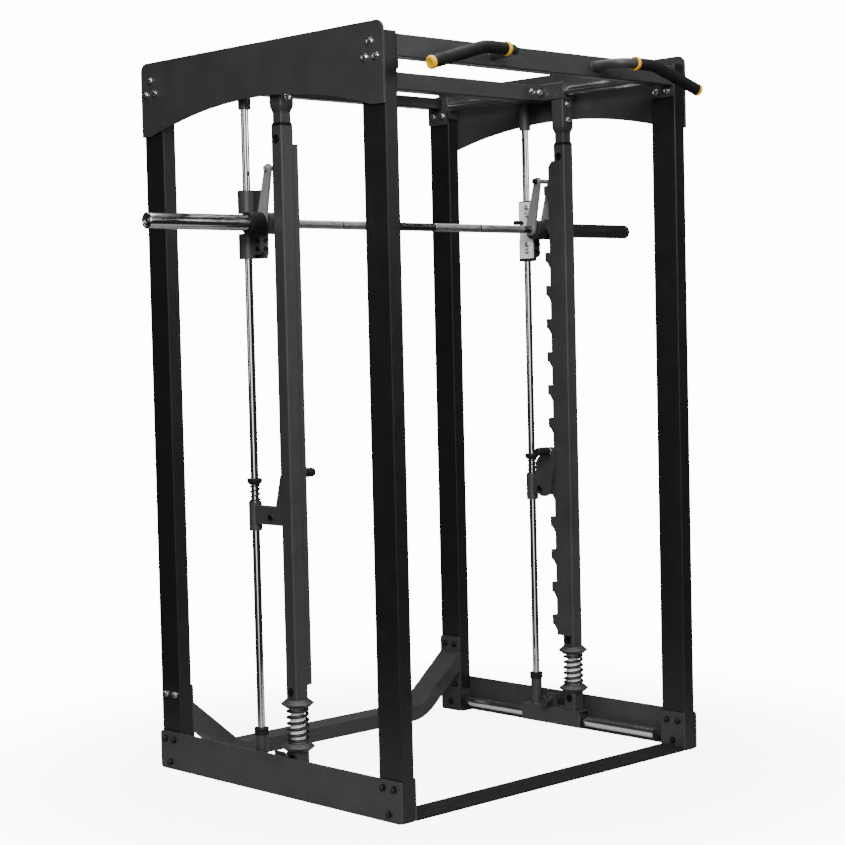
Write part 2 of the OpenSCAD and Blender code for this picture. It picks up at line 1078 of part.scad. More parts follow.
module slide_bolts() {
    bolt_z = [slide_low + 35, slide_low + 58, slide_high - 50, slide_high - 24];
    color(silver)
        both_sides() {
            for (z = bolt_z)
                translate([slide_plate_x, plate_bolt_y, z])
                    rotate([0, -90, 0])
                        bolt_head(slide_bolt[0], slide_bolt[1]);
            for (z = block_bolt_z) {
                translate([web_x + block_t, block_front + block_bolt_in, slide_low + z])
                    rotate([0, 90, 0])
                        bolt_head(block_bolt[0], block_bolt[1]);
                translate([web_x + block_bolt_in, block_front, slide_low + z])
                    rotate([90, 0, 0])
                        bolt_head(block_bolt[0], block_bolt[1]);
            }
        }
}

// Rubber pegs beside the bar that soften its contact
module slide_pegs() {
    color(rubber_black)
        both_sides()
            translate([slide_plate_x - peg_len, peg_y, peg_z])
                rod_x(peg_r, peg_len);
}

// ---- bar ----

module bar_shaft() {
    half = bar_len / 2 - shaft_inset;
    color(silver)
        translate([-half, bar_y, bar_z])
            rod_x(shaft_r, 2 * half);
}

module plate_sleeves() {
    len = bar_len / 2 - sleeve_start;
    color(chrome)
        both_sides()
            translate([sleeve_start, bar_y, bar_z])
                difference() {
                    rod_x(sleeve_r, len);
                    translate([-1, 0, 0])
                        rod_x(shaft_r + seat_gap, len - shaft_inset + 1);
                    translate([len - sleeve_dish, 0, 0])
                        rod_x(sleeve_r - sleeve_lip, sleeve_dish + 1);
                }
}

// Rubber discs at the sleeves, and the spacers between them and the hooks
module bar_collars() {
    color(rubber_black)
        both_sides() {
            translate([sleeve_start - collar_t, bar_y, bar_z])
                rod_x(collar_r, collar_t, shaft_r + seat_gap);
            translate([outer_arm_x + arm_t, bar_y, bar_z])
                rod_x(spacer_r, sleeve_start - collar_t - outer_arm_x - arm_t, shaft_r + seat_gap);
        }
}

module hook_arm() {
    side_profile(arm_t)
        difference() {
            tapered_link([bar_y, bar_z], [pin_y, pin_z], arm_low_r, arm_top_r);
            translate([bar_y, bar_z])
                circle(r = shaft_r + seat_gap);
        }
}

module bar_hooks() {
    color(silver)
        both_sides() {
            translate([inner_arm_x, 0, 0])
                hook_arm();
            translate([outer_arm_x, 0, 0])
                hook_arm();
            translate([pin_start, pin_y, pin_z])
                rod_x(pin_r, pin_end - pin_start);
        }
}

module hook_pin_caps() {
    color(rubber_black)
        both_sides()
            translate([pin_start - pin_cap, pin_y, pin_z])
                rod_x(pin_r + 2, pin_cap);
}

// ---- safety stops ----

module safety_stop() {
    arm_x = side_x - stop_arm_t / 2;
    color(charcoal)
        difference() {
            union() {
                translate([side_x, rod_y, stop_z - stop_skirt])
                    cylinder(r = stop_dia / 2, h = stop_h + stop_skirt);
                translate([arm_x, 0, 0])
                    side_profile(stop_arm_t)
                        polygon([
                            [stop_arm_front, stop_arm_z], [rod_y, stop_arm_z],
                            [rod_y, stop_arm_z + stop_arm_h], [stop_arm_front + horn_root, stop_arm_z + stop_arm_h],
                            [stop_arm_front + horn_tip, stop_arm_z + stop_arm_h + horn_h],
                            [stop_arm_front, stop_arm_z + stop_arm_h + horn_h]
                        ]);
                translate([latch_x + latch_t + 1, pivot_y, pivot_z])
                    rod_x(pivot_boss_r, arm_x - latch_x - latch_t);
                translate([latch_x - 1, pivot_y, pivot_z])
                    rod_x(pivot_r, arm_x - latch_x + 2);
                translate([latch_x - pivot_washer[1] - 1, pivot_y, pivot_z])
                    rod_x(pivot_washer[0], pivot_washer[1]);
                translate([arm_x + stop_arm_t - 1, pivot_y, pivot_z])
                    rod_x(arm_boss[0], arm_boss[1]);
            }
            translate([side_x, rod_y, stop_z - stop_skirt - 1])
                cylinder(r = rod_r + slide_gap, h = stop_h + stop_skirt + 2);
        }
}

module left_safety_stop() {
    on_side(-1)
        safety_stop();
}

module right_safety_stop() {
    on_side(1)
        safety_stop();
}

// A lever on the stop: its nose drops on a tooth, its handle points inwards
module stop_latch() {
    handle_len = latch_grip_len - 4;
    color(charcoal) {
        translate([latch_x, 0, 0])
            side_profile(latch_t)
                difference() {
                    union() {
                        tapered_link(lever_low, lever_top, lever_low_r, lever_top_r);
                        tapered_link(lever_top, [latch_handle_y, latch_handle_z], lever_top_r, lever_end_r);
                    }
                    translate([pivot_y, pivot_z])
                        circle(r = pivot_r + slide_gap);
                }
        translate([latch_x + latch_t - 1, nose_y, nose_z])
            rod_x(nose_r, comb_t + 4);
        translate([latch_x - handle_len, latch_handle_y, latch_handle_z])
            rod_x(latch_core_r, handle_len + 1);
    }
}

module left_stop_latch() {
    on_side(-1)
        stop_latch();
}

module right_stop_latch() {
    on_side(1)
        stop_latch();
}

module latch_grip() {
    color(rubber_black)
        translate([latch_x - latch_grip_len, latch_handle_y, latch_handle_z])
            rotate([0, 90, 0])
                rotate_extrude()
                    polygon([
                        [0, 0], [latch_grip_r - 3, 0], [latch_grip_r, 4], [latch_grip_r, latch_grip_len - 3],
                        [latch_grip_r - 2, latch_grip_len], [latch_core_r + seat_gap, latch_grip_len],
                        [latch_core_r + seat_gap, 4], [0, 4]
                    ]);
}

module left_latch_grip() {
    on_side(-1)
        latch_grip();
}

module right_latch_grip() {
    on_side(1)
        latch_grip();
}

module stop_bumper(side) {
    color(rubber_black)
        translate([side * side_x, rod_y, stop_bumper_z])
            rotate_extrude()
                polygon([
                    [rod_r + 0.4, 0], [stop_bumper_r - 7, 0], [stop_bumper_r, 7],
                    [stop_bumper_r, stop_bumper_h - 2], [stop_bumper_r - 2, stop_bumper_h],
                    [rod_r + 0.4, stop_bumper_h]
                ]);
}

module left_stop_bumper() {
    stop_bumper(-1);
}

module right_stop_bumper() {
    stop_bumper(1);
}

module stop_spring(side) {
    color(rubber_black)
        translate([side * side_x, rod_y, stop_z + stop_h])
            coil(stop_spring_r, stop_spring_wire, stop_spring_turns, stop_spring_h);
}

module left_stop_spring() {
    stop_spring(-1);
}

module right_stop_spring() {
    stop_spring(1);
}

// A plunger whose flat nose is pressed on the lower plate to hold the carriage
module lock_knob() {
    color(rubber_black) {
        translate([knob_x, lock_y, lock_z])
            rod_x(knob_r, knob_t);
        translate([knob_x + knob_t - 1, lock_y, lock_z])
            rod_x(lock_r, plate_x - nose_clear - knob_x - knob_t + 1);
    }
}

module left_lock_knob() {
    on_side(-1)
        lock_knob();
}

module right_lock_knob() {
    on_side(1)
        lock_knob();
}

front_left_upright();
front_right_upright();
rear_left_upright();
rear_right_upright();
upright_caps();
left_upper_plate();
right_upper_plate();
left_lower_plate();
right_lower_plate();
front_beam();
rear_tube();
rear_brace();
frame_brackets();
floor_strip();
pull_up_handles();
pull_up_grips();
grip_caps();
lower_rails();
upper_rails();
rail_bumpers();
silver_bolts();
black_bolts();
left_carriage_base();
right_carriage_base();
left_carriage_head();
right_carriage_head();
cross_beam();
guide_rods();
inner_posts();
spring_guides();
rod_rings();
carriage_bushes();
carriage_bolts();
left_notched_column();
right_notched_column();
left_rack_spring();
right_rack_spring();
left_bar_slide();
right_bar_slide();
slide_plates();
slide_bushes();
slide_bolts();
slide_pegs();
bar_shaft();
plate_sleeves();
bar_collars();
bar_hooks();
hook_pin_caps();
left_safety_stop();
right_safety_stop();
left_stop_latch();
right_stop_latch();
left_latch_grip();
right_latch_grip();
left_stop_bumper();
right_stop_bumper();
left_stop_spring();
right_stop_spring();
left_lock_knob();
right_lock_knob();
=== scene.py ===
import json
import math

import bmesh
import bpy
from mathutils import Matrix, Vector


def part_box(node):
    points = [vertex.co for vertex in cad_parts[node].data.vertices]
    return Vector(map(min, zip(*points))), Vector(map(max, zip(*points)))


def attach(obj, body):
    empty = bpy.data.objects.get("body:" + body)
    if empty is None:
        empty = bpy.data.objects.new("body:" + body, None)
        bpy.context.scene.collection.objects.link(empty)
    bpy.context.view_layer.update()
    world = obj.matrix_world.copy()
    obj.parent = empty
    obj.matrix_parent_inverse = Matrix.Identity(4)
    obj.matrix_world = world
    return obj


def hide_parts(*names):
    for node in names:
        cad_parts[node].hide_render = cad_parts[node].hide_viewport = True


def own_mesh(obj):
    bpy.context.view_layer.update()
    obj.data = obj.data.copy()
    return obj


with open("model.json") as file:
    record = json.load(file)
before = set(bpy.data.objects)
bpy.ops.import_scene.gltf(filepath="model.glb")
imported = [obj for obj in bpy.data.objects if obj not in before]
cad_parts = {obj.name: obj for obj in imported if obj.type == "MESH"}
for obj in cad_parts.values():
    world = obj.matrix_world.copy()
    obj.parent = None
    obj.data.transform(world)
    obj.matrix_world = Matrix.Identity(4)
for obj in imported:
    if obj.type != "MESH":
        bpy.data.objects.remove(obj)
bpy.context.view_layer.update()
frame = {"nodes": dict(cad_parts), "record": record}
nodes = frame["nodes"]
record = frame["record"]
body_of_node = {n: b for b, names in record["behaviour"]["bodies"].items() for n in names}
slot_of_node = {s["node"]: s["material_slot"] for s in record["subparts"]}


# ---- camera ----

CAMERA_PLACE = (-4.51615, -4.68825, 1.45206)
CAMERA_AZIMUTH = math.radians(-43.5)
CAMERA_ELEVATION = math.radians(2.8)
CAMERA_ROLL = math.radians(-1.36)
CAMERA_LENS = 83.61
SENSOR_WIDTH = 36
FAR_CLIP = 100


def make_camera():
    """A camera at the photograph's viewing angle, with no depth of field and no shift."""
    back = Vector((math.sin(CAMERA_AZIMUTH) * math.cos(CAMERA_ELEVATION),
                   -math.cos(CAMERA_AZIMUTH) * math.cos(CAMERA_ELEVATION),
                   math.sin(CAMERA_ELEVATION)))
    right = (-back).cross(Vector((0, 0, 1))).normalized()
    up = right.cross(-back)
    cam_x = right * math.cos(CAMERA_ROLL) + up * math.sin(CAMERA_ROLL)
    cam_y = up * math.cos(CAMERA_ROLL) - right * math.sin(CAMERA_ROLL)
    data = bpy.data.cameras.new("camera")
    data.lens = CAMERA_LENS
    data.sensor_width = SENSOR_WIDTH
    data.clip_end = FAR_CLIP
    camera = bpy.data.objects.new("camera", data)
    turn = Matrix((cam_x, cam_y, back)).transposed().to_4x4()
    camera.matrix_world = Matrix.Translation(CAMERA_PLACE) @ turn
    bpy.context.scene.collection.objects.link(camera)
    bpy.context.scene.camera = camera


make_camera()


# ---- materials ----

# Noise values fall mostly between these two, so ramps start and end there.
NOISE_LOW = 0.3
NOISE_HIGH = 0.7


class Nodes:
    """Short calls that build one material's node tree around its shader."""

    def __init__(self, name):
        self.material = bpy.data.materials.new(name)
        self.material.use_nodes = True
        self.tree = self.material.node_tree
        self.shader = self.tree.nodes["Principled BSDF"]
        self.coords = self.tree.nodes.new("ShaderNodeTexCoord").outputs["Object"]

    def set(self, **values):
        for key, value in values.items():
            self.shader.inputs[key.replace("_", " ")].default_value = value

    def scaled(self, size):
        node = self.tree.nodes.new("ShaderNodeMapping")
        node.inputs["Scale"].default_value = size
        self.tree.links.new(self.coords, node.inputs["Vector"])
        return node.outputs["Vector"]

    def noise(self, scale, detail=3, rough=0.55, stretch=(1, 1, 1)):
        node = self.tree.nodes.new("ShaderNodeTexNoise")
        node.inputs["Scale"].default_value = scale
        node.inputs["Detail"].default_value = detail
        node.inputs["Roughness"].default_value = rough
        self.tree.links.new(self.scaled(stretch), node.inputs["Vector"])
        return node.outputs["Fac"]

    def cells(self, scale):
        node = self.tree.nodes.new("ShaderNodeTexVoronoi")
        node.inputs["Scale"].default_value = scale
        self.tree.links.new(self.scaled((1, 1, 1)), node.inputs["Vector"])
        return node.outputs["Distance"]

    def bands(self, scale, direction):
        node = self.tree.nodes.new("ShaderNodeTexWave")
        node.bands_direction = direction
        node.inputs["Scale"].default_value = scale
        node.inputs["Distortion"].default_value = 0
        self.tree.links.new(self.scaled((1, 1, 1)), node.inputs["Vector"])
        return node.outputs["Fac"]

    def ramp(self, value, low, high):
        node = self.tree.nodes.new("ShaderNodeValToRGB")
        node.color_ramp.elements[0].position = NOISE_LOW
        node.color_ramp.elements[0].color = (*low, 1)
        node.color_ramp.elements[1].position = NOISE_HIGH
        node.color_ramp.elements[1].color = (*high, 1)
        self.tree.links.new(value, node.inputs["Fac"])
        return node.outputs["Color"]

    def spread(self, value, low, high):
        node = self.tree.nodes.new("ShaderNodeMapRange")
        node.inputs["From Min"].default_value = NOISE_LOW
        node.inputs["From Max"].default_value = NOISE_HIGH
        node.inputs["To Min"].default_value = low
        node.inputs["To Max"].default_value = high
        self.tree.links.new(value, node.inputs["Value"])
        return node.outputs["Result"]

    def color(self, value, low, high):
        self.tree.links.new(self.ramp(value, low, high), self.shader.inputs["Base Color"])

    def roughness(self, value, low, high):
        self.tree.links.new(self.spread(value, low, high), self.shader.inputs["Roughness"])

    def bump(self, value, height, strength=0.5):
        node = self.tree.nodes.new("ShaderNodeBump")
        node.inputs["Distance"].default_value = height
        node.inputs["Strength"].default_value = strength
        old = self.shader.inputs["Normal"].links
        if old:
            self.tree.links.new(old[0].from_socket, node.inputs["Normal"])
        self.tree.links.new(value, node.inputs["Height"])
        self.tree.links.new(node.outputs["Normal"], self.shader.inputs["Normal"])


def tint(color, factor):
    return tuple(min(1.0, c * factor) for c in color)


def powder_coat(name, color, rough, specular=0.5):
    """Sprayed enamel: a fine orange-peel grain, faint clouding and a soft gloss that varies."""
    n = Nodes(name)
    n.set(Specular_IOR_Level=specular)
    n.color(n.noise(9, 4), tint(color, 0.88), tint(color, 1.12))
    n.roughness(n.noise(14, 5), rough - 0.05, rough + 0.07)
    n.bump(n.noise(420, 2), 0.00025, 0.35)
    n.bump(n.cells(900), 0.0001, 0.25)
    return n.material


def rubbed_and_highlit_edge(name, color, rough):
    """The same enamel along an edge, lighter and smoother: partly rubbed wear, partly a painted highlight
    where the edges catch the light.
    """
    n = Nodes(name)
    n.color(n.noise(60, 5), tint(color, 1.3), tint(color, 2.3))
    n.roughness(n.noise(45, 4), rough - 0.14, rough)
    n.bump(n.noise(500, 2), 0.0002, 0.3)
    return n.material


def polished(name, color, rough, grain, stretch):
    """Plated bar: hairline grain, a few dull smears and tiny scratches in the gloss."""
    n = Nodes(name)
    n.set(Metallic=1.0)
    n.color(n.noise(5, 4), tint(color, 0.93), color)
    n.roughness(n.noise(11, 6), rough, rough + 0.09)
    n.bump(n.noise(grain, 3, 0.6, stretch), 0.00002, 0.25)
    return n.material


def plated_bolt(name, color, rough):
    """Zinc or oxide plate with small crystalline spots."""
    n = Nodes(name)
    n.set(Metallic=1.0)
    n.color(n.cells(240), tint(color, 0.8), color)
    n.roughness(n.noise(160, 4), rough - 0.08, rough + 0.12)
    n.bump(n.noise(700, 3), 0.00006, 0.4)
    return n.material


def rubber(name, color, rough):
    """Dull rubber with a pitted skin."""
    n = Nodes(name)
    n.set(Specular_IOR_Level=0.22)
    n.color(n.noise(22, 4), tint(color, 0.75), tint(color, 1.35))
    n.roughness(n.noise(30, 4), rough - 0.08, rough + 0.1)
    n.bump(n.noise(650, 4, 0.7), 0.0003, 0.5)
    return n.material


def moulded(name, color, rough, coat=0.0, specular=0.5):
    """Injection-moulded plastic with a fine spark-eroded skin."""
    n = Nodes(name)
    n.set(Coat_Weight=coat, Coat_Roughness=0.12, Specular_IOR_Level=specular)
    n.color(n.noise(18, 3), tint(color, 0.9), tint(color, 1.08))
    n.roughness(n.noise(40, 3), rough - 0.05, rough + 0.06)
    n.bump(n.cells(1100), 0.00008, 0.3)
    return n.material


def knurled(name, color, rough):
    """Steel cut with two crossing spirals, which meet as small diamonds."""
    n = Nodes(name)
    n.set(Metallic=1.0)
    n.color(n.noise(26, 5), tint(color, 0.8), tint(color, 1.15))
    n.roughness(n.noise(60, 4), rough - 0.05, rough + 0.12)
    n.bump(n.bands(95, "DIAGONAL"), 0.0006, 0.5)
    n.bump(n.bands(130, "X"), 0.0005, 0.5)
    return n.material


def brushed(name, color, rough, metal):
    """Silver lacquer or zinc on steel: fine flakes and a soft sheen."""
    n = Nodes(name)
    n.set(Metallic=metal)
    n.color(n.cells(1500), tint(color, 0.86), tint(color, 1.05))
    n.roughness(n.noise(35, 4), rough - 0.05, rough + 0.08)
    n.bump(n.noise(800, 2), 0.00008, 0.3)
    return n.material


BLACK = (0.0085, 0.0085, 0.009)
CHARCOAL = (0.03, 0.0305, 0.0315)
MAT = {
    "black_frame": powder_coat("black_enamel", BLACK, 0.34, 0.3),
    "charcoal_frame": powder_coat("charcoal_enamel", CHARCOAL, 0.44, 0.4),
    "charcoal_carriage": powder_coat("charcoal_enamel_carriage", tint(CHARCOAL, 1.05), 0.44, 0.4),
    "charcoal_rack": powder_coat("charcoal_enamel_rack", tint(CHARCOAL, 1.02), 0.46, 0.4),
    "charcoal_slides": powder_coat("charcoal_enamel_slides", tint(CHARCOAL, 0.95), 0.4, 0.45),
    "charcoal_stops": powder_coat("charcoal_enamel_stops", tint(CHARCOAL, 1.2), 0.42, 0.45),
    "black_plastic": moulded("black_plastic", (0.01, 0.01, 0.0105), 0.42),
    "black_rubber": rubber("black_rubber", (0.0055, 0.0055, 0.0065), 0.66),
    "yellow_plastic": moulded("yellow_plastic", (0.8, 0.42, 0.0), 0.34, 0.1),
    "chrome_rods": polished("chrome_rods", (0.72, 0.73, 0.74), 0.03, 1500, (1, 1, 0.05)),
    "bolt_steel": plated_bolt("bolt_steel", (0.75, 0.75, 0.745), 0.22),
    "black_bolt": plated_bolt("black_bolt", (0.05, 0.05, 0.052), 0.34),
    "spring_steel": moulded("spring_enamel", (0.0035, 0.0035, 0.004), 0.5),
    "bar_steel": knurled("bar_knurl", (0.42, 0.425, 0.43), 0.36),
    "silver_plate": brushed("silver_lacquer", (0.95, 0.955, 0.96), 0.34, 0.05),
}
# Lighter enamel for the bevelled edges of the frame: partly rubbed wear, partly a painted highlight along
# the edges.
EDGE = {
    "black_frame": rubbed_and_highlit_edge("black_enamel_edge", BLACK, 0.34),
    "charcoal_frame": rubbed_and_highlit_edge("charcoal_enamel_edge", CHARCOAL, 0.4),
}
SMOOTH_STEEL = polished("bar_smooth", (0.2, 0.2, 0.205), 0.2, 1800, (1, 0.05, 0.05))
SLEEVE_CHROME = polished("sleeve_chrome", (0.55, 0.555, 0.56), 0.12, 1500, (0.05, 1, 1))
RAIL_CHROME = polished("rail_chrome", (0.8, 0.805, 0.81), 0.16, 1500, (1, 0.05, 1))
HOOK_SATIN = brushed("hook_satin", (0.32, 0.32, 0.325), 0.36, 0.4)
# Near-white satin for the spring guides, so they show bright between the coils like lit chrome: painted
# reflection.
GUIDE_PAINTED_SHINE = brushed("guide_painted_shine", (0.95, 0.955, 0.96), 0.3, 0.05)
FINISH = {
    "bar_hooks": HOOK_SATIN,
    "lower_rails": RAIL_CHROME,
    "upper_rails": RAIL_CHROME,
    "spring_guides": GUIDE_PAINTED_SHINE,
}
PLUG_PLASTIC = moulded("plug_plastic", (0.0018, 0.0018, 0.002), 0.62, specular=0.15)
WELD = powder_coat("weld_enamel", tint(CHARCOAL, 1.1), 0.38, 0.5)


# ---- carried-over CAD nodes ----

def smooth_group():
    """A geometry node group that marks every face smooth, for use as a modifier."""
    group = bpy.data.node_groups.new("smooth_faces", "GeometryNodeTree")
    group.interface.new_socket("Geometry", in_out="INPUT", socket_type="NodeSocketGeometry")
    group.interface.new_socket("Geometry", in_out="OUTPUT", socket_type="NodeSocketGeometry")
    start = group.nodes.new("NodeGroupInput")
    smooth = group.nodes.new("GeometryNodeSetShadeSmooth")
    end = group.nodes.new("NodeGroupOutput")
    group.links.new(start.outputs[0], smooth.inputs[0])
    group.links.new(smooth.outputs[0], end.inputs[0])
    return group


SMOOTH = smooth_group()
MERGE_DISTANCE = 0.00002
EDGE_ANGLE = math.radians(38)
FRAME_EDGE = 0.0011
FINE_EDGE = 0.0009


def soften(obj, width, edge=None):
    """Rounds the hard edges of a CAD node with modifiers only."""
    weld = obj.modifiers.new("weld", "WELD")
    weld.merge_threshold = MERGE_DISTANCE
    smooth = obj.modifiers.new("smooth", "NODES")
    smooth.node_group = SMOOTH
    bevel = obj.modifiers.new("bevel", "BEVEL")
    bevel.width = width
    bevel.segments = 2
    bevel.limit_method = "ANGLE"
    bevel.angle_limit = EDGE_ANGLE
    bevel.miter_outer = "MITER_ARC"
    if edge is not None:
        bevel.material = edge
    obj.modifiers.new("normals", "WEIGHTED_NORMAL")


def dress(name):
    """Gives a CAD node its slot's material and soft edges."""
    obj = nodes[name]
    kind = slot_of_node[name]
    obj.data.materials.clear()
    obj.data.materials.append(FINISH.get(name, MAT[kind]))
    # The second slot gives the bevels the lighter edge enamel, which is partly a painted highlight.
    if kind in EDGE:
        obj.data.materials.append(EDGE[kind])
        soften(obj, FRAME_EDGE, edge=1)
    else:
        soften(obj, FINE_EDGE)


REBUILT_ENDINGS = ("_bolts", "_spring", "_bumpers", "_bumper", "_rings", "_knob", "_grip")
REBUILT = {"bar_shaft", "plate_sleeves", "bar_collars", "hook_pin_caps", "slide_pegs",
           "pull_up_grips", "grip_caps", "floor_strip"}
for node_name in nodes:
    if node_name not in REBUILT and not node_name.endswith(REBUILT_ENDINGS):
        dress(node_name)


# ---- reading the CAD solids ----

def islands(name):
    """Boxes and points of the separate solids of a CAD node."""
    bm = bmesh.new()
    bm.from_mesh(nodes[name].data)
    bmesh.ops.remove_doubles(bm, verts=bm.verts, dist=0.00001)
    left = set(bm.verts)
    found = []
    while left:
        stack = [left.pop()]
        points = []
        while stack:
            vert = stack.pop()
            points.append(vert.co.copy())
            for edge in vert.link_edges:
                other = edge.other_vert(vert)
                if other in left:
                    left.remove(other)
                    stack.append(other)
        lo = Vector([min(p[i] for p in points) for i in range(3)])
        hi = Vector([max(p[i] for p in points) for i in range(3)])
        found.append((lo, hi, points))
    bm.free()
    found.sort(key=lambda f: tuple(round(c, 4) for c in f[0]))
    return found


def turned_to(direction):
    """The rotation that takes +Z to a direction."""
    return Vector((0, 0, 1)).rotation_difference(Vector(direction)).to_matrix().to_4x4()


# ---- building new pieces ----

def piece(name, bm, node=None, kind=None, material=None, body=None, crease=35, extra=()):
    """Turns a bmesh into a piece that rides on its body and takes its slot."""
    mesh = bpy.data.meshes.new(name)
    bmesh.ops.recalc_face_normals(bm, faces=bm.faces)
    for face in bm.faces:
        face.smooth = True
    sharp = math.radians(crease)
    for edge in bm.edges:
        if len(edge.link_faces) == 2 and edge.calc_face_angle(0) > sharp:
            edge.smooth = False
    bm.to_mesh(mesh)
    bm.free()
    obj = bpy.data.objects.new(name, mesh)
    bpy.context.scene.collection.objects.link(obj)
    slot_name = kind or slot_of_node[node]
    mesh.materials.append(material or MAT[slot_name])
    for other in extra:
        mesh.materials.append(other)
    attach(obj, body or body_of_node[node])
    if node:
        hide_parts(node)
    return obj


def ring_of(bm, matrix, radius, height, count, shape=None):
    """One ring of vertices at a height, round or with a radius for each angle."""
    verts = []
    for i in range(count):
        angle = 2 * math.pi * i / count
        r = radius if shape is None else shape(angle, radius, height)
        verts.append(bm.verts.new(matrix @ Vector((r * math.cos(angle), r * math.sin(angle), height))))
    return verts


def skin(bm, rings, closed=False, index=0):
    """Faces between neighbouring rings."""
    pairs = list(zip(rings, rings[1:]))
    if closed:
        pairs.append((rings[-1], rings[0]))
    for a, b in pairs:
        count = len(a)
        for i in range(count):
            face = bm.faces.new((a[i], a[(i + 1) % count], b[(i + 1) % count], b[i]))
            face.material_index = index


def lathe(bm, matrix, profile, count=40, shape=None, closed=False, index=0):
    """Turns a profile of (radius, height) about Z. Ends at radius 0 are filled with a fan."""
    rings = []
    start = None
    end = None
    for k, (radius, height) in enumerate(profile):
        if radius < 1e-7:
            point = bm.verts.new(matrix @ Vector((0, 0, height)))
            if k == 0:
                start = point
            else:
                end = point
        else:
            rings.append(ring_of(bm, matrix, radius, height, count, shape))
    skin(bm, rings, closed, index)
    for point, ring in ((start, rings[0]), (end, rings[-1])):
        if point is not None:
            for i in range(count):
                face = bm.faces.new((ring[i], ring[(i + 1) % count], point))
                face.material_index = index


def rounded(profile, radius, steps=3):
    """Rounds the corners of a profile of (radius, height) points."""
    out = [profile[0]]
    for before, here, after in zip(profile, profile[1:], profile[2:]):
        a = Vector(before) - Vector(here)
        b = Vector(after) - Vector(here)
        reach = min(radius, a.length * 0.45, b.length * 0.45)
        p = Vector(here) + a.normalized() * reach
        q = Vector(here) + b.normalized() * reach
        for s in range(steps + 1):
            t = s / steps
            point = p * (1 - t) ** 2 + Vector(here) * 2 * t * (1 - t) + q * t * t
            out.append((point.x, point.y))
    out.append(profile[-1])
    return out


def ring_profile(outer, inner, height, edge, steps=3):
    """The closed profile of a ring or bush: outer and inner wall with rounded lips."""
    corners = [(inner, height / 2), (inner, height), (outer, height), (outer, 0), (inner, 0),
               (inner, height / 2)]
    return rounded(corners, edge, steps)[:-1]


def along(lo, hi, axis):
    """Centre of the low end, radius and length of a round solid that lies along one axis."""
    across = [i for i in range(3) if i != axis]
    centre = (lo + hi) / 2
    radius = max(hi[i] - lo[i] for i in across) / 2
    start = centre.copy()
    start[axis] = lo[axis]
    return start, radius, hi[axis] - lo[axis]


def from_end(start, length, way):
    """The frame of a round solid along X, with its origin at one end and Z pointing along it."""
    if way < 0:
        start = start + Vector((length, 0, 0))
    return Matrix.Translation(start) @ turned_to((way, 0, 0))


AXES = (Vector((1, 0, 0)), Vector((0, 1, 0)), Vector((0, 0, 1)))


# ---- bolts ----

NEAR = 0.0005


def bolt_place(lo, hi, points):
    """Seat, direction, washer radius and height of one CAD bolt head, read from its points."""
    size = hi - lo
    axis = min(range(3), key=lambda i: size[i])
    across = [i for i in range(3) if i != axis]
    centre = (lo + hi) / 2
    wide = max(size[i] for i in across) / 2
    low_reach = 0
    high_reach = 0
    for p in points:
        reach = sum((p[i] - centre[i]) ** 2 for i in across)
        if p[axis] < lo[axis] + NEAR:
            low_reach = max(low_reach, reach)
        if p[axis] > hi[axis] - NEAR:
            high_reach = max(high_reach, reach)
    outward = 1 if low_reach > high_reach else -1
    seat = centre.copy()
    seat[axis] = lo[axis] if outward > 0 else hi[axis]
    return seat, AXES[axis] * outward, wide, size[axis]


def hex_shape(flat):
    """Radius of a hexagon with the given half width across the flats, at each angle."""
    def shape(angle, radius, height):
        turn = (angle + math.pi / 6) % (math.pi / 3) - math.pi / 6
        return min(radius, flat / math.cos(turn))
    return shape


def washer_disc(bm, matrix, radius, thick, edge):
    corners = [(radius * 0.5, 0.0), (radius, 0.0), (radius, thick), (radius * 0.5, thick)]
    lathe(bm, matrix, rounded(corners, edge), 36)


def hex_bolt(bm, seat, direction, washer, height, spin):
    """A washer with rounded rims, a chamfered hexagon head and a shallow dished crown."""
    matrix = Matrix.Translation(seat) @ turned_to(direction) @ Matrix.Rotation(spin, 4, "Z")
    rim = 0.002
    washer_disc(bm, matrix, washer, rim, 0.0006)
    head = washer - 0.0025
    flat = head * 0.9
    profile = [(head, rim), (head, height - 0.0022), (head * 0.96, height - 0.0012), (flat * 0.97, height),
               (flat * 0.9, height), (flat * 0.72, height - 0.0006), (0, height - 0.0008)]
    lathe(bm, matrix, profile, 48, hex_shape(flat))


def socket_bolt(bm, seat, direction, washer, height, spin):
    """A washer and a round cap head with a hexagon socket."""
    matrix = Matrix.Translation(seat) @ turned_to(direction) @ Matrix.Rotation(spin, 4, "Z")
    rim = 0.0015
    washer_disc(bm, matrix, washer, rim, 0.0005)
    head = washer - 0.002
    hole = head * 0.5
    outside = rounded([(head, rim), (head, height), (hole * 1.25, height)], 0.0018, 4)
    lathe(bm, matrix, outside, 36)
    socket = [(hole * 1.25, height), (hole * 1.16, height), (hole * 1.1, height - 0.0006),
              (hole * 1.1, height - 0.0045), (0, height - 0.005)]
    lathe(bm, matrix, socket, 36, hex_shape(hole))


SPIN_STEP = 0.37
BOLT_CREASE = 28


def build_bolts(node, maker, name=None, wanted=None, kind=None):
    """Puts detailed heads on the CAD bolts, or only on those that the test picks."""
    bm = bmesh.new()
    for number, (lo, hi, points) in enumerate(islands(node)):
        seat, direction, washer, height = bolt_place(lo, hi, points)
        if wanted is None or wanted(seat, direction):
            maker(bm, seat, direction, washer, height, SPIN_STEP * number)
    piece(name or node + "_heads", bm, node, kind=kind, crease=BOLT_CREASE)


def on_silver_plate(seat, direction):
    """The slide bolts that point to the middle of the machine sit on the silver plates."""
    return seat.x * direction.x < -0.01


def on_block(seat, direction):
    return not on_silver_plate(seat, direction)


build_bolts("silver_bolts", hex_bolt)
build_bolts("black_bolts", hex_bolt)
build_bolts("carriage_bolts", hex_bolt)
build_bolts("slide_bolts", socket_bolt, "slide_plate_bolts", on_silver_plate)
build_bolts("slide_bolts", socket_bolt, "slide_block_bolts", on_block, "black_bolt")


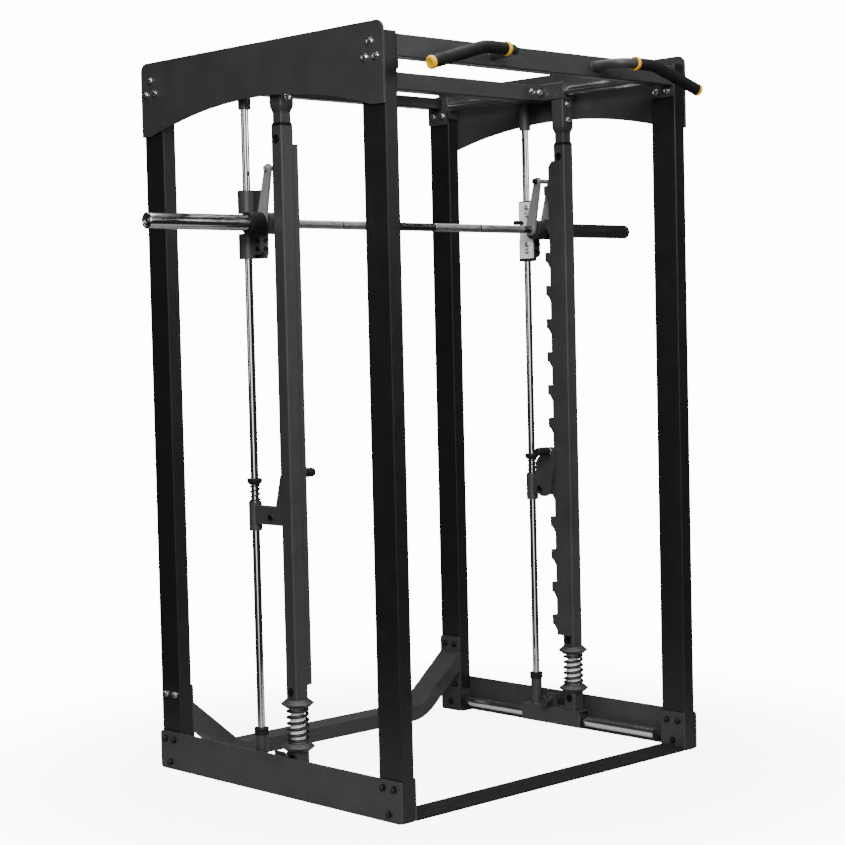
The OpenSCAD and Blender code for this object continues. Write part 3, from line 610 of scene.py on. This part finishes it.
# The latch pivot of a safety stop, from the rear and the foot of the stop's box, and how far
# the arm's boss stands in from the outer face of the box.
PIVOT_FROM_REAR = 0.119
PIVOT_FROM_FOOT = 0.048
STOP_BOSS_IN = 0.002
SIDES = ("left", "right")


def build_stop_bolts(side):
    """Black bolts on both ends of a latch pivot: on the boss of the stop's arm and on the lever."""
    lo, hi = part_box(side + "_safety_stop")
    outward = 1 if lo.x > 0 else -1
    outer_x, inner_x = (hi.x, lo.x) if outward > 0 else (lo.x, hi.x)
    y = hi.y - PIVOT_FROM_REAR
    z = lo.z + PIVOT_FROM_FOOT
    bm = bmesh.new()
    socket_bolt(bm, Vector((outer_x - outward * STOP_BOSS_IN, y, z)), (outward, 0, 0), 0.0095, 0.006, 0.2)
    socket_bolt(bm, Vector((inner_x, y, z)), (-outward, 0, 0), 0.011, 0.006, 0.6)
    piece(side + "_stop_bolts", bm, kind="black_bolt", body=side + "_stop", crease=BOLT_CREASE)


for side in SIDES:
    build_stop_bolts(side)


# ---- springs ----

def sweep(bm, centres, radii, sides, shape=None):
    """A closed tube along a line of points, round or with a radius for each angle."""
    rings = []
    normal = None
    for k, centre in enumerate(centres):
        before = centres[max(k - 1, 0)]
        after = centres[min(k + 1, len(centres) - 1)]
        tangent = (after - before).normalized()
        if normal is None:
            normal = tangent.orthogonal().normalized()
        normal = (normal - tangent * normal.dot(tangent)).normalized()
        binormal = tangent.cross(normal)
        ring = []
        for i in range(sides):
            angle = 2 * math.pi * i / sides
            r = radii[k] if shape is None else shape(angle, radii[k], k)
            ring.append(bm.verts.new(centre + (normal * math.cos(angle) + binormal * math.sin(angle)) * r))
        rings.append(ring)
    skin(bm, rings)
    bm.faces.new(list(reversed(rings[0])))
    bm.faces.new(rings[-1])


POINTS_PER_TURN = 28
FLAT_TURNS = 0.8


def spring_line(lo, hi, wire, turns):
    """Centre line of a coil whose first and last turn lie flat on their seats."""
    centre = (lo + hi) / 2
    radius = (hi.x - lo.x) / 2 - wire
    low = lo.z + wire
    high = hi.z - wire
    count = int(turns * POINTS_PER_TURN)
    points = []
    for k in range(count + 1):
        t = k / count
        climb = min(max((t * turns - FLAT_TURNS) / (turns - 2 * FLAT_TURNS), 0), 1)
        from_start = min(t * turns, FLAT_TURNS) / FLAT_TURNS
        from_end_of_coil = min((1 - t) * turns, FLAT_TURNS) / FLAT_TURNS
        lift = wire * 1.05 * (from_start - from_end_of_coil)
        z = low + wire + (high - low - 2 * wire) * climb + lift
        angle = 2 * math.pi * turns * t
        points.append(Vector((centre.x + radius * math.cos(angle), centre.y + radius * math.sin(angle),
                              min(max(z, low), high))))
    return points


def build_spring(node, wire, turns, body):
    """A coil that stands on its lower seat and rides on its body."""
    lo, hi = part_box(node)
    bm = bmesh.new()
    line = spring_line(lo, hi, wire, turns)
    sweep(bm, line, [wire] * len(line), 14)
    obj = piece(node + "_coil", bm, node, body=body)
    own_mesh(obj)


for side in SIDES:
    build_spring(side + "_rack_spring", 0.005, 6.25, "carriage")
    build_spring(side + "_stop_spring", 0.00225, 4.25, side + "_stop")


# ---- bar ----

# Half lengths along the bar, from its middle, and the half width of a ring groove.
SMOOTH_MIDDLE = 0.1
RING_MARK = 0.316
KNURL_END = 0.53
RING_HALF = 0.004
TURNED_CREASE = 30


def build_bar():
    """Shaft with knurled zones, ring grooves and a smooth dark middle."""
    lo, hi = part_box("bar_shaft")
    matrix = Matrix.Translation((0, (lo.y + hi.y) / 2, (lo.z + hi.z) / 2)) @ turned_to((1, 0, 0))
    radius = (hi.z - lo.z) / 2
    smooth = radius - 0.0004
    groove = radius - 0.0012
    foot = smooth - 0.0006
    slope = 0.0008
    zones = []
    for s in (-1, 1):
        for a, b, r, index in ((SMOOTH_MIDDLE, RING_MARK - RING_HALF, radius, 0),
                               (RING_MARK - RING_HALF, RING_MARK + RING_HALF, groove, 1),
                               (RING_MARK + RING_HALF, KNURL_END, radius, 0),
                               (KNURL_END, hi.x, smooth, 1)):
            zones.append((min(s * a, s * b), max(s * a, s * b), r, index))
    zones.append((-SMOOTH_MIDDLE, SMOOTH_MIDDLE, smooth, 1))
    bm = bmesh.new()
    for a, b, r, index in zones:
        lathe(bm, matrix, [(foot, a), (r, a + slope), (r, b - slope), (foot, b)], 48, index=index)
    piece("bar_shaft_turned", bm, "bar_shaft", extra=(SMOOTH_STEEL,), crease=TURNED_CREASE)


def build_sleeves():
    """Plate sleeves with chamfered ends, a groove for the retaining ring and a dished end cap."""
    bm = bmesh.new()
    for lo, hi, points in islands("plate_sleeves"):
        start, radius, length = along(lo, hi, 0)
        outward = 1 if start.x > 0 else -1
        matrix = from_end(start, length, outward)
        inner = radius * 0.6
        profile = [(inner, 0.0), (radius - 0.0015, 0.0), (radius, 0.0015), (radius, length - 0.014),
                   (radius - 0.001, length - 0.0135), (radius - 0.001, length - 0.011),
                   (radius, length - 0.0105), (radius, length - 0.003), (radius - 0.003, length),
                   (radius - 0.0055, length),
                   (radius - 0.0065, length - 0.001), (radius - 0.0068, length - 0.006),
                   (radius - 0.009, length - 0.0065), (0.009, length - 0.0065),
                   (0.0085, length - 0.0045), (0.0065, length - 0.0035), (0, length - 0.0035)]
        lathe(bm, matrix, profile, 56)
    piece("plate_sleeves_turned", bm, "plate_sleeves", material=SLEEVE_CHROME, crease=TURNED_CREASE)


SHAFT_HOLE = 0.0141
DISC_RADIUS = 0.03


def build_collars():
    """Rubber discs against the plates, and waisted spacers between disc and hook."""
    bm = bmesh.new()
    for lo, hi, points in islands("bar_collars"):
        start, radius, length = along(lo, hi, 0)
        matrix = from_end(start, length, 1)
        if radius > DISC_RADIUS:
            lathe(bm, matrix, ring_profile(radius, SHAFT_HOLE, length, 0.0028), 48, closed=True)
        else:
            waist = radius - 0.0012
            corners = [(SHAFT_HOLE, 0), (radius, 0), (radius, length * 0.18), (waist, length * 0.24),
                       (waist, length * 0.76), (radius, length * 0.82), (radius, length),
                       (SHAFT_HOLE, length)]
            lathe(bm, matrix, rounded(corners, 0.0008), 40)
    piece("bar_collars_turned", bm, "bar_collars", crease=TURNED_CREASE)


def build_hook_caps():
    """Domed caps on the inner ends of the hook pins."""
    bm = bmesh.new()
    for lo, hi, points in islands("hook_pin_caps"):
        start, radius, length = along(lo, hi, 0)
        inner = -1 if start.x > 0 else 1
        matrix = from_end(start, length, inner)
        corners = [(radius * 0.6, 0), (radius, 0), (radius, length), (0, length)]
        lathe(bm, matrix, rounded(corners, 0.004, 5), 36)
    piece("hook_pin_caps_moulded", bm, "hook_pin_caps")


def build_pegs():
    """Rubber pegs with a bulged nose and a thin neck at the plate."""
    bm = bmesh.new()
    for lo, hi, points in islands("slide_pegs"):
        start, radius, length = along(lo, hi, 0)
        inner = -1 if start.x > 0 else 1
        matrix = from_end(start, length, inner)
        corners = [(radius * 0.5, 0), (radius * 0.82, 0), (radius * 0.82, length * 0.45),
                   (radius, length * 0.55), (radius, length), (0, length)]
        lathe(bm, matrix, rounded(corners, 0.0022, 4), 32)
    piece("slide_pegs_moulded", bm, "slide_pegs")


build_bar()
build_sleeves()
build_collars()
build_hook_caps()
build_pegs()


# ---- rings, bumpers, knobs ----

MOULDED_CREASE = 50


def build_rings(node, hole, edge, waist):
    """Round rubber parts that stand on Z or lie along Y, with rounded lips and a shallow waist."""
    bm = bmesh.new()
    for lo, hi, points in islands(node):
        size = hi - lo
        axis = 2 if abs(size.x - size.y) < 0.0005 else 1
        start, radius, length = along(lo, hi, axis)
        matrix = Matrix.Translation(start) @ turned_to(AXES[axis])
        corners = [(hole, length / 2), (hole, length), (radius * 0.97, length), (radius, length * 0.78),
                   (radius - waist, length * 0.5), (radius, length * 0.22), (radius * 0.97, 0), (hole, 0),
                   (hole, length / 2)]
        lathe(bm, matrix, rounded(corners, edge)[:-1], 44, closed=True)
    piece(node + "_moulded", bm, node, crease=MOULDED_CREASE)


ROD_HOLE = 0.01265
RAIL_HOLE = 0.0177
build_rings("rod_rings", ROD_HOLE, 0.003, 0.0018)
build_rings("rail_bumpers", RAIL_HOLE, 0.004, 0.0015)


CUSHION_HOLE = 0.0131


def build_stop_bumper(side):
    """A cushion with a wide flat top and a tapered foot, which sits on its spring."""
    node = side + "_stop_bumper"
    lo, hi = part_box(node)
    start, radius, length = along(lo, hi, 2)
    corners = [(CUSHION_HOLE, length / 2), (CUSHION_HOLE, length), (radius - 0.001, length),
               (radius, length * 0.86), (radius, length * 0.42), (radius - 0.0065, length * 0.04),
               (radius - 0.0075, 0), (CUSHION_HOLE, 0), (CUSHION_HOLE, length / 2)]
    bm = bmesh.new()
    lathe(bm, Matrix.Translation(start), rounded(corners, 0.0025)[:-1], 44, closed=True)
    piece(node + "_moulded", bm, node, crease=MOULDED_CREASE)


FLUTED_FROM = 0.016


def fluted(lobes, depth):
    """Radius of a knob with finger hollows in its outer part, at each angle."""
    def shape(angle, radius, height):
        if radius <= FLUTED_FROM:
            return radius
        return radius - depth * (0.5 - 0.5 * math.cos(lobes * angle)) ** 2
    return shape


KNOB_THICK = 0.018
PLUNGER_RADIUS = 0.00595


def build_lock_knob(side):
    """A fluted knob with a steel plunger behind it."""
    node = side + "_lock_knob"
    lo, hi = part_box(node)
    outward = 1 if lo.x > 0 else -1
    length = hi.x - lo.x
    centre = (lo + hi) / 2
    start = Vector((lo.x if outward > 0 else hi.x, centre.y, centre.z))
    matrix = Matrix.Translation(start) @ turned_to((outward, 0, 0))
    radius = (hi.z - lo.z) / 2
    neck = PLUNGER_RADIUS + 0.00025
    bm = bmesh.new()
    knob = [(0, 0.0), (radius * 0.62, 0.0), (radius * 0.95, 0.003), (radius, KNOB_THICK * 0.45),
            (radius * 0.9, KNOB_THICK * 0.75), (radius * 0.6, KNOB_THICK), (neck, KNOB_THICK)]
    lathe(bm, matrix, rounded(knob, 0.0045, 5), 96, fluted(8, 0.0024))
    plunger = [(neck, KNOB_THICK - 0.001), (PLUNGER_RADIUS, KNOB_THICK), (PLUNGER_RADIUS, length - 0.002),
               (0.004, length), (0, length)]
    lathe(bm, matrix, rounded(plunger, 0.0008), 28, index=1)
    piece(node + "_fluted", bm, node, extra=(MAT["chrome_rods"],), crease=MOULDED_CREASE)


GRIP_RIBS = 7
GRIP_BORE = 0.0072
RIB_START = 0.010
RIB_INSET = 0.014
COLLAR_LENGTH = 0.009
RIBBED_CREASE = 60


def build_latch_grip(side):
    """A ribbed hand grip with a light collar where it meets the lever."""
    node = side + "_latch_grip"
    lo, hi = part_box(node)
    outward = 1 if lo.x > 0 else -1
    start, radius, length = along(lo, hi, 0)
    matrix = from_end(start, length, outward)
    profile = [(0, 0.0), (radius * 0.55, 0.0), (radius * 0.86, 0.0025), (radius * 0.97, 0.007)]
    body_end = length - COLLAR_LENGTH
    step = (body_end - RIB_INSET) / GRIP_RIBS
    for k in range(GRIP_RIBS):
        for t, r in ((0.0, 0.93), (0.18, 1.0), (0.62, 1.0), (0.8, 0.93)):
            profile.append((radius * r, RIB_START + step * (k + t)))
    profile += [(radius * 0.95, body_end - 0.002), (radius * 0.8, body_end), (GRIP_BORE, body_end)]
    bm = bmesh.new()
    lathe(bm, matrix, profile, 40)
    rim = radius * 0.92
    collar = [(GRIP_BORE, body_end), (rim, body_end), (rim, length), (GRIP_BORE, length)]
    lathe(bm, matrix, rounded(collar, 0.0015), 40, index=1)
    piece(node + "_ribbed", bm, node, extra=(MAT["bolt_steel"],), crease=RIBBED_CREASE)


for side in SIDES:
    build_stop_bumper(side)
    build_lock_knob(side)
    build_latch_grip(side)


# ---- pull-up handles ----

GRIP_RADIUS = 0.019
GRIP_FLAT = 0.062
GRIP_BEND = 0.160
GRIP_DROP = math.radians(16)
GRIP_TAIL = 0.200
FLAT_STEPS = 8
BEND_STEPS = 12
TAIL_STEPS = 39


def grip_line(right, lo, hi):
    """Centre line of one grip, read from its CAD box: straight, then bent down, then straight."""
    start = lo.x if right else hi.x
    sign = 1 if right else -1
    y = (lo.y + hi.y) / 2
    z = hi.z - GRIP_RADIUS
    points = []
    for k in range(FLAT_STEPS):
        points.append(Vector((start + sign * GRIP_FLAT * k / FLAT_STEPS, y, z)))
    for k in range(BEND_STEPS + 1):
        a = GRIP_DROP * k / BEND_STEPS
        reach = GRIP_FLAT + GRIP_BEND * math.sin(a)
        points.append(Vector((start + sign * reach, y, z - GRIP_BEND * (1 - math.cos(a)))))
    corner = points[-1]
    slope = Vector((sign * math.cos(GRIP_DROP), 0, -math.sin(GRIP_DROP)))
    for k in range(1, TAIL_STEPS + 1):
        points.append(corner + slope * GRIP_TAIL * k / TAIL_STEPS)
    return points, slope


def ribs(angle, radius, k):
    """Radius of a grip with fine lengthwise ribs, at each angle."""
    return radius - 0.0004 * (0.5 + 0.5 * math.cos(24 * angle)) ** 3


def build_grips():
    """Rubber grips: fine lengthwise ribs and turned-in ends, along the bent handle."""
    bm = bmesh.new()
    for lo, hi, points in islands("pull_up_grips"):
        line, slope = grip_line(lo.x > 0, lo, hi)
        radii = [GRIP_RADIUS] * len(line)
        radii[0] -= 0.0016
        radii[-1] -= 0.0016
        sweep(bm, line, radii, 96, ribs)
    piece("pull_up_grips_ribbed", bm, "pull_up_grips", crease=RIBBED_CREASE)


HANDLE_HOLE = 0.0163


def build_grip_caps():
    """Yellow rings at the inner ends and yellow plugs at the tips."""
    bm = bmesh.new()
    grips = {lo.x > 0: grip_line(lo.x > 0, lo, hi) for lo, hi, points in islands("pull_up_grips")}
    for lo, hi, points in islands("grip_caps"):
        right = (lo.x + hi.x) > 0
        line, slope = grips[right]
        middle = (lo + hi) / 2
        if abs(middle.x - line[0].x) < abs(middle.x - line[-1].x):
            start, radius, length = along(lo, hi, 0)
            matrix = from_end(start, length, 1)
            profile = ring_profile(radius - 0.0001, HANDLE_HOLE, length, 0.0042, 5)
            lathe(bm, matrix, profile, 44, closed=True)
        else:
            matrix = Matrix.Translation(line[-1]) @ turned_to(slope)
            corners = [(0.012, 0), (0.02, 0), (0.02, 0.0095), (0.0152, 0.014), (0.0105, 0.014),
                       (0.0095, 0.0125), (0, 0.0125)]
            lathe(bm, matrix, rounded(corners, 0.0022, 4), 44)
    piece("grip_caps_moulded", bm, "grip_caps", crease=MOULDED_CREASE)


build_grips()
build_grip_caps()


# ---- floor strip ----

STRIP_RIBS = 4
STRIP_MARGIN = 0.008
RIB_HALF = 0.0088
RIB_HEIGHT = 0.0039
RIB_STEPS = 8
STRIP_SPANS = 6


def build_floor_strip():
    """A rubber-faced strip with a rounded rim and raised round-topped ribs."""
    lo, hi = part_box("floor_strip")
    depth = hi.y - lo.y
    top = hi.z - 0.004
    profile = [(0.0, 0.0), (0.0, top - 0.0025), (0.0009, top - 0.0008), (0.003, top)]
    gap = (depth - 2 * STRIP_MARGIN) / STRIP_RIBS
    for k in range(STRIP_RIBS):
        centre = STRIP_MARGIN + (k + 0.5) * gap
        for s in range(RIB_STEPS + 1):
            a = math.pi * s / RIB_STEPS
            profile.append((centre - RIB_HALF * math.cos(a), top + RIB_HEIGHT * math.sin(a) ** 0.7))
    profile += [(depth - 0.003, top), (depth - 0.0009, top - 0.0008), (depth, top - 0.0025), (depth, 0.0)]
    bm = bmesh.new()
    loops = []
    for k in range(STRIP_SPANS + 1):
        x = lo.x + (hi.x - lo.x) * k / STRIP_SPANS
        loops.append([bm.verts.new((x, lo.y + y, z)) for y, z in profile])
    skin(bm, loops)
    bm.faces.new(loops[0])
    bm.faces.new(list(reversed(loops[-1])))
    piece("floor_strip_ribbed", bm, "floor_strip", crease=40)


build_floor_strip()


# ---- small added parts ----

COLUMN_HALF = 0.025
BASE_HOLE_Z = 0.118
COLUMN_HOLES_Z = (0.327, 2.037)
PLUG = [(0.0115, -0.004), (0.0115, 0.0), (0.0138, 0.0), (0.0134, 0.0013), (0.0098, 0.0013),
        (0.0088, 0.0003), (0, 0.0003)]


def column_centre(side):
    """The upright line that a rack's column, its spring and its inner post share."""
    lo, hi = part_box(side + "_rack_spring")
    return (lo + hi) / 2


def add_plugs(bm, centre, heights):
    """Plugs in both faces of a square tube, at each height."""
    for outward in (-1, 1):
        for z in heights:
            place = Vector((centre.x + outward * COLUMN_HALF, centre.y, z))
            lathe(bm, Matrix.Translation(place) @ turned_to((outward, 0, 0)), rounded(PLUG, 0.0005), 36)


def build_plugs():
    """Black plastic plugs in the cross holes of the columns and of the posts below the springs."""
    bm = bmesh.new()
    for side in SIDES:
        add_plugs(bm, column_centre(side), (BASE_HOLE_Z,))
    piece("base_plugs", bm, kind="black_plastic", material=PLUG_PLASTIC, body="carriage")
    for side in SIDES:
        bm = bmesh.new()
        add_plugs(bm, column_centre(side), COLUMN_HOLES_Z)
        name = side + "_column_plugs"
        piece(name, bm, kind="black_plastic", material=PLUG_PLASTIC, body=side + "_rack")


SQUARE_CORNER = 0.006
CORNER_STEPS = 4
HEAD_CAP_Z = 2.1402


def square_ring(bm, centre, half, z):
    """One ring of vertices round a square with rounded corners."""
    ring = []
    inset = half - SQUARE_CORNER
    for sx, sy, start in ((1, 1, 0), (-1, 1, 90), (-1, -1, 180), (1, -1, 270)):
        for k in range(CORNER_STEPS + 1):
            a = math.radians(start + 90 * k / CORNER_STEPS)
            ring.append(bm.verts.new((centre.x + sx * inset + SQUARE_CORNER * math.cos(a),
                                      centre.y + sy * inset + SQUARE_CORNER * math.sin(a), z)))
    return ring


def build_head_tapers():
    """Short tapers from the square caps of the heads down to the inner posts."""
    bm = bmesh.new()
    steps = ((0.0275, 0), (0.0274, 0.003), (0.0258, 0.009), (0.0232, 0.0165), (0.0224, 0.0195),
             (0.022, 0.02), (0.0213, 0.02))
    for side in SIDES:
        centre = column_centre(side)
        skin(bm, [square_ring(bm, centre, half, HEAD_CAP_Z - drop) for half, drop in steps])
    piece("head_tapers", bm, kind="charcoal_carriage", body="carriage", crease=30)


def build_column_liners():
    """Plastic guides on top of the columns, which fill the gap around the inner posts."""
    steps = ((0.0216, 0.0004), (0.0249, 0.0004), (0.0249, 0.003), (0.0238, 0.0062), (0.0224, 0.0098),
             (0.0216, 0.0102))
    for side in SIDES:
        centre = column_centre(side)
        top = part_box(side + "_notched_column")[1].z
        bm = bmesh.new()
        skin(bm, [square_ring(bm, centre, half, top + rise) for half, rise in steps], closed=True)
        name = side + "_column_liner"
        piece(name, bm, kind="black_plastic", material=PLUG_PLASTIC, body=side + "_rack", crease=30)


def build_head_bushes_and_shade():
    """Black rings in the end plates of the heads, where the upper rails go in: partly a bush lip, partly
    painted shade that fills the dark gap round each rail.
    """
    bm = bmesh.new()
    corners = [(RAIL_HOLE, -0.001), (RAIL_HOLE, 0.0018), (0.0225, 0.0018), (0.0235, 0.0001), (0.0198, 0.0),
               (0.0198, -0.004), (RAIL_HOLE, -0.004), (RAIL_HOLE, -0.001)]
    profile = rounded(corners, 0.0006)[:-1]
    for side, (rail_lo, rail_hi, points) in zip(SIDES, islands("upper_rails")):
        lo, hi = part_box(side + "_carriage_head")
        rail = (rail_lo + rail_hi) / 2
        for y, outward in ((lo.y, -1), (hi.y, 1)):
            matrix = Matrix.Translation((rail.x, y, rail.z)) @ turned_to((0, outward, 0))
            lathe(bm, matrix, profile, 44, closed=True)
    piece("head_bushes_and_shade", bm, kind="black_plastic", body="carriage", crease=40)


BEAD_STEPS = 96
BEAD_SIDES = 8
BEAD_FLATNESS = 0.7
WELD_CREASE = 80
SOCKET_RADIUS = 0.0205
HANDLE_RADIUS = 0.016
HANDLE_X = 0.232


def weld_bead(bm, matrix, radius, size, waves):
    """A ring of weld with the ripple of its passes."""
    rings = []
    for k in range(BEAD_STEPS):
        angle = 2 * math.pi * k / BEAD_STEPS
        thick = size * (1 + 0.16 * math.sin(waves * angle) + 0.05 * math.sin(7 * angle + 1))
        ring = []
        for i in range(BEAD_SIDES):
            b = 2 * math.pi * i / BEAD_SIDES
            r = radius + thick * math.cos(b)
            point = Vector((r * math.cos(angle), r * math.sin(angle), thick * BEAD_FLATNESS * math.sin(b)))
            ring.append(bm.verts.new(matrix @ point))
        rings.append(ring)
    skin(bm, rings, closed=True)


def build_welds():
    """Weld beads round the rod sockets of the carriage and round the stubs of the pull-up handles."""
    bm = bmesh.new()
    for lo, hi, points in islands("guide_rods"):
        centre = (lo + hi) / 2
        for z in (lo.z + 0.0004, hi.z - 0.0004):
            weld_bead(bm, Matrix.Translation((centre.x, centre.y, z)), SOCKET_RADIUS, 0.0022, 46)
    piece("socket_welds", bm, kind="charcoal_carriage", material=WELD, body="carriage", crease=WELD_CREASE)
    bm = bmesh.new()
    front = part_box("front_beam")[0].y
    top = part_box("pull_up_handles")[1].z
    for x in (-HANDLE_X, HANDLE_X):
        place = Matrix.Translation((x, front - 0.0002, top - HANDLE_RADIUS))
        weld_bead(bm, place @ turned_to((0, 1, 0)), HANDLE_RADIUS + 0.0005, 0.0024, 40)
    piece("handle_welds", bm, kind="charcoal_frame", material=WELD, body="frame", crease=WELD_CREASE)


build_plugs()
build_head_tapers()
build_column_liners()
build_head_bushes_and_shade()
build_welds()


# ---- floor and light ----

FLOOR_HALF = 30
FLOOR_GLOW = 7.5
FADE_START = 0.95
FADE_END = 2.1
BRIGHT_SIDE = (-0.69, -0.71, 0.14)
REAR_LEVEL = 0.3
DIM_LEVEL = 0.012
DIM_FROM = 0.05
DIM_TO = 0.955
BRIGHT_FROM = 0.993
LIGHT_STRENGTH = 2.4
WHITE_STRENGTH = 14.0


def fade_out(n, start, end):
    """Lets the floor run out softly into the white surroundings, so there is no horizon."""
    distance = n.tree.nodes.new("ShaderNodeVectorMath")
    distance.operation = "LENGTH"
    n.tree.links.new(n.coords, distance.inputs[0])
    share = n.tree.nodes.new("ShaderNodeMapRange")
    share.interpolation_type = "SMOOTHSTEP"
    share.inputs["From Min"].default_value = start
    share.inputs["From Max"].default_value = end
    n.tree.links.new(distance.outputs["Value"], share.inputs["Value"])
    clear = n.tree.nodes.new("ShaderNodeBsdfTransparent")
    mix = n.tree.nodes.new("ShaderNodeMixShader")
    output = next(node for node in n.tree.nodes if node.type == "OUTPUT_MATERIAL")
    n.tree.links.new(share.outputs["Result"], mix.inputs["Fac"])
    n.tree.links.new(n.shader.outputs[0], mix.inputs[1])
    n.tree.links.new(clear.outputs[0], mix.inputs[2])
    n.tree.links.new(mix.outputs[0], output.inputs["Surface"])


def glow_for_camera(n, strength):
    """Shows the floor as white paper, without lighting the machine from below."""
    rays = n.tree.nodes.new("ShaderNodeLightPath")
    lift = n.tree.nodes.new("ShaderNodeMapRange")
    lift.inputs["To Max"].default_value = strength
    n.tree.links.new(rays.outputs["Is Camera Ray"], lift.inputs["Value"])
    n.tree.links.new(lift.outputs["Result"], n.shader.inputs["Emission Strength"])
    n.set(Emission_Color=(1.0, 1.0, 1.0, 1))


def build_floor():
    bm = bmesh.new()
    corners = ((-1, -1), (1, -1), (1, 1), (-1, 1))
    bm.faces.new([bm.verts.new((x * FLOOR_HALF, y * FLOOR_HALF, 0.0)) for x, y in corners])
    mesh = bpy.data.meshes.new("floor")
    bm.to_mesh(mesh)
    bm.free()
    floor = bpy.data.objects.new("floor", mesh)
    n = Nodes("floor_paper")
    n.set(Specular_IOR_Level=0.2)
    n.color(n.noise(0.8, 3), (0.4, 0.4, 0.402), (0.43, 0.43, 0.43))
    glow_for_camera(n, FLOOR_GLOW)
    n.roughness(n.noise(3, 3), 0.75, 0.85)
    fade_out(n, FADE_START, FADE_END)
    mesh.materials.append(n.material)
    bpy.context.scene.collection.objects.link(floor)


def area_light(name, place, target, size, power):
    """A soft rectangular lamp that faces a point."""
    data = bpy.data.lights.new(name, "AREA")
    data.shape = "RECTANGLE"
    data.size = size[0]
    data.size_y = size[1]
    data.energy = power
    light = bpy.data.objects.new(name, data)
    way = Vector(target) - Vector(place)
    light.matrix_world = Matrix.Translation(place) @ way.to_track_quat("-Z", "Y").to_matrix().to_4x4()
    bpy.context.scene.collection.objects.link(light)


def build_world():
    """White behind the machine; dim all round for the light, with one soft bright side in front of it."""
    world = bpy.data.worlds.new("studio")
    world.use_nodes = True
    tree = world.node_tree
    coords = tree.nodes.new("ShaderNodeTexCoord")
    facing = tree.nodes.new("ShaderNodeVectorMath")
    facing.operation = "DOT_PRODUCT"
    facing.inputs[1].default_value = Vector(BRIGHT_SIDE).normalized()
    tree.links.new(coords.outputs["Generated"], facing.inputs[0])
    share = tree.nodes.new("ShaderNodeMapRange")
    share.inputs["From Min"].default_value = -1.0
    tree.links.new(facing.outputs["Value"], share.inputs["Value"])
    lobes = tree.nodes.new("ShaderNodeValToRGB")
    lobes.color_ramp.interpolation = "EASE"
    for position in (DIM_FROM, DIM_TO):
        lobes.color_ramp.elements.new(position).color = (DIM_LEVEL, DIM_LEVEL, DIM_LEVEL, 1)
    lobes.color_ramp.elements[0].color = (REAR_LEVEL, REAR_LEVEL, REAR_LEVEL, 1)
    lobes.color_ramp.elements[-1].position = BRIGHT_FROM
    tree.links.new(share.outputs["Result"], lobes.inputs["Fac"])
    around = tree.nodes["Background"]
    around.inputs["Strength"].default_value = LIGHT_STRENGTH
    tree.links.new(lobes.outputs["Color"], around.inputs["Color"])
    behind = tree.nodes.new("ShaderNodeBackground")
    behind.inputs["Color"].default_value = (1.0, 1.0, 1.0, 1)
    behind.inputs["Strength"].default_value = WHITE_STRENGTH
    rays = tree.nodes.new("ShaderNodeLightPath")
    mix = tree.nodes.new("ShaderNodeMixShader")
    output = next(node for node in tree.nodes if node.type == "OUTPUT_WORLD")
    tree.links.new(rays.outputs["Is Camera Ray"], mix.inputs["Fac"])
    tree.links.new(around.outputs[0], mix.inputs[1])
    tree.links.new(behind.outputs[0], mix.inputs[2])
    tree.links.new(mix.outputs[0], output.inputs["Surface"])
    bpy.context.scene.world = world


build_floor()
build_world()
area_light("key", (-4.6, -4.4, 4.8), (0, 0, 1.4), (2.4, 2.4), 520)
area_light("front", (2.2, -6.2, 3.4), (0, 0, 1.3), (2.4, 2.4), 120)
area_light("side", (-5.0, 1.5, 2.6), (0, 0, 1.2), (0.3, 3.0), 14)
area_light("top", (0.0, 0.0, 7.0), (0, 0, 0.0), (6.0, 6.0), 700)
